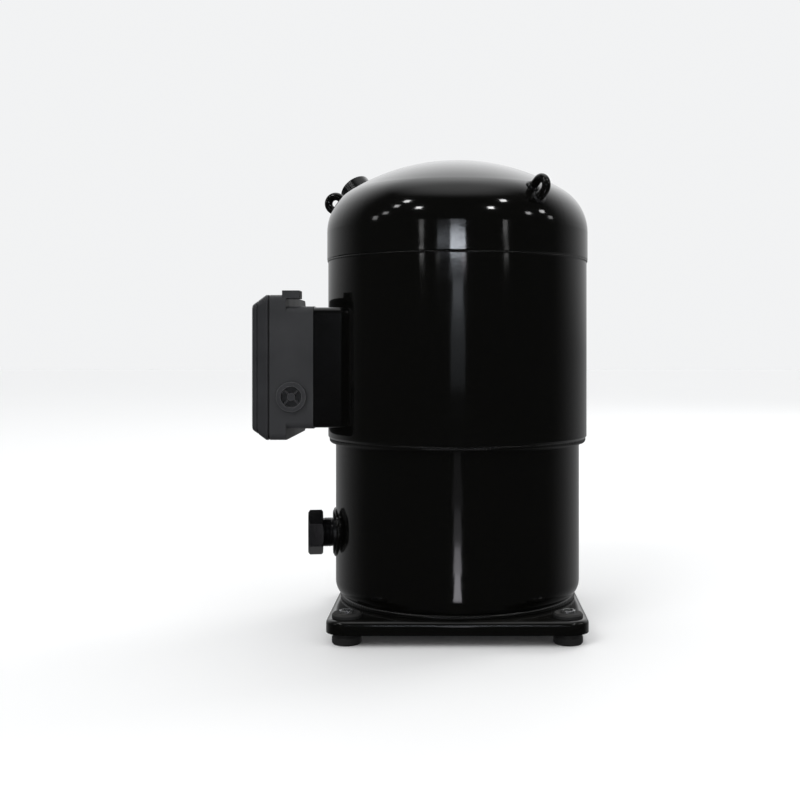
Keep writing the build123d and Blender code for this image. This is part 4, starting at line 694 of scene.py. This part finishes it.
LAMP_REACH = 3.0
UPPER_WALL = (0.0, -0.12, 0.30)
SEAM = (0.0, -0.1225, 0.346)
KNUCKLE = (0.0, -0.05, 0.365)


def seen_in_shell(name, turn, rise, size, glow, tint=WHITE, start=UPPER_WALL):
    """A small panel that the enamel mirrors: turn and rise are its direction from a point on the shell.

    Its power follows from its size, so that glow is how bright its face looks.
    """
    flat = math.cos(math.radians(rise)) * LAMP_REACH
    place = Vector(start) + Vector(
        (
            flat * math.sin(math.radians(turn)),
            -flat * math.cos(math.radians(turn)),
            LAMP_REACH * math.sin(math.radians(rise)),
        )
    )
    power = glow * size[0] * size[1] * math.pi
    lamp = panel(name, place, start, size, power, tint)
    lamp.visible_diffuse = False
    return lamp



# A bright window that the cap's foot mirrors, and its fainter tail down the shell: rise, width and
# glow of each strip
WINDOW_TURN = 0.4
TAIL_TALL = 0.10
seen_in_shell("window_wide", -8.0, 5.8, (0.95, 0.050), 2.4, COOL, SEAM)
seen_in_shell("window_bright", WINDOW_TURN, 5.6, (0.66, 0.050), 22.0, COOL, SEAM)
for number, (rise, wide, glow) in enumerate(
    (
        (3.1, 0.46, 1.5),
        (1.3, 0.60, 0.60),
        (-0.5, 0.66, 0.36),
        (-2.3, 0.66, 0.26),
    )
):
    seen_in_shell(f"window_tail_{number + 1}", WINDOW_TURN, rise, (wide, TAIL_TALL), glow, COOL)

# Small lamps mirrored in two rows along the seam: turn, rise, glow and tint
for number, (turn, rise, glow, tint) in enumerate(
    (
        (-31.0, 6.6, 9.0, WHITE),
        (41.6, 6.6, 9.0, WHITE),
        (-31.0, 5.0, 8.0, WHITE),
        (5.6, 4.8, 7.0, ROSE),
        (43.0, 4.9, 5.0, WHITE),
        (-17.0, 4.7, 1.5, WHITE),
    )
):
    seen_in_shell(f"seam_lamp_{number + 1}", turn, rise, (0.20, 0.016), glow, tint, SEAM)

# Ceiling lamps mirrored in the knuckle of the cap: turn, rise and glow
for number, (turn, rise, glow) in enumerate(
    (
        (-75.0, 14.0, 3.0),
        (-66.0, 21.0, 4.0),
        (-60.0, 34.0, 9.0),
        (-54.0, 44.0, 17.0),
        (-36.0, 31.0, 21.0),
        (31.0, 31.0, 26.0),
        (50.0, 46.0, 20.0),
        (65.0, 21.0, 7.0),
        (82.0, 24.0, 9.0),
        (88.0, 15.0, 3.0),
    )
):
    seen_in_shell(f"ceiling_lamp_{number + 1}", turn, rise, (0.24, 0.24), glow, start=KNUCKLE)

# Window light on the floor, mirrored low on the shell: distance of each strip's near and far end from
# the shell, and its glow
STRIP_SPREAD = 0.125                 # a strip's width over its distance
STRIP_RISE = 0.002
for number, (near, far, glow) in enumerate(
    (
        (0.165, 0.300, 4.4),
        (0.300, 0.480, 3.0),
        (0.480, 0.800, 0.55),
        (0.800, 1.800, 0.14),
    )
):
    middle = -LOWER_R - (near + far) / 2
    wide = (near + far) / 2 * STRIP_SPREAD
    patch = panel(
        f"floor_glow_{number + 1}",
        (0.0, middle, STRIP_RISE),
        (0.0, middle, 1.0),
        (wide, far - near),
        glow * wide * (far - near) * math.pi,
        VIOLET,
    )
    patch.visible_diffuse = False

CAMERA_DISTANCE = 1.050
EYE_HEIGHT = PLATE_TOP + 0.228
SENSOR_WIDTH = 36.0                  # millimetres, as is the focal length
FOCAL_LENGTH = 49.9
SHIFT_ACROSS = -0.0718               # as a share of the picture's width
SHIFT_UP = -0.0600
camera_data = bpy.data.cameras.new("camera")
camera_data.sensor_width = SENSOR_WIDTH
camera_data.lens = FOCAL_LENGTH
camera_data.shift_x = SHIFT_ACROSS
camera_data.shift_y = SHIFT_UP
camera_data.clip_end = 100.0
camera = bpy.data.objects.new("camera", camera_data)
scene.collection.objects.link(camera)
camera.location = (0.0, -CAMERA_DISTANCE, EYE_HEIGHT)
camera.rotation_euler = (math.radians(90.0), 0.0, 0.0)
scene.camera = camera

scene.view_settings.view_transform = "Standard"
scene.view_settings.look = "None"
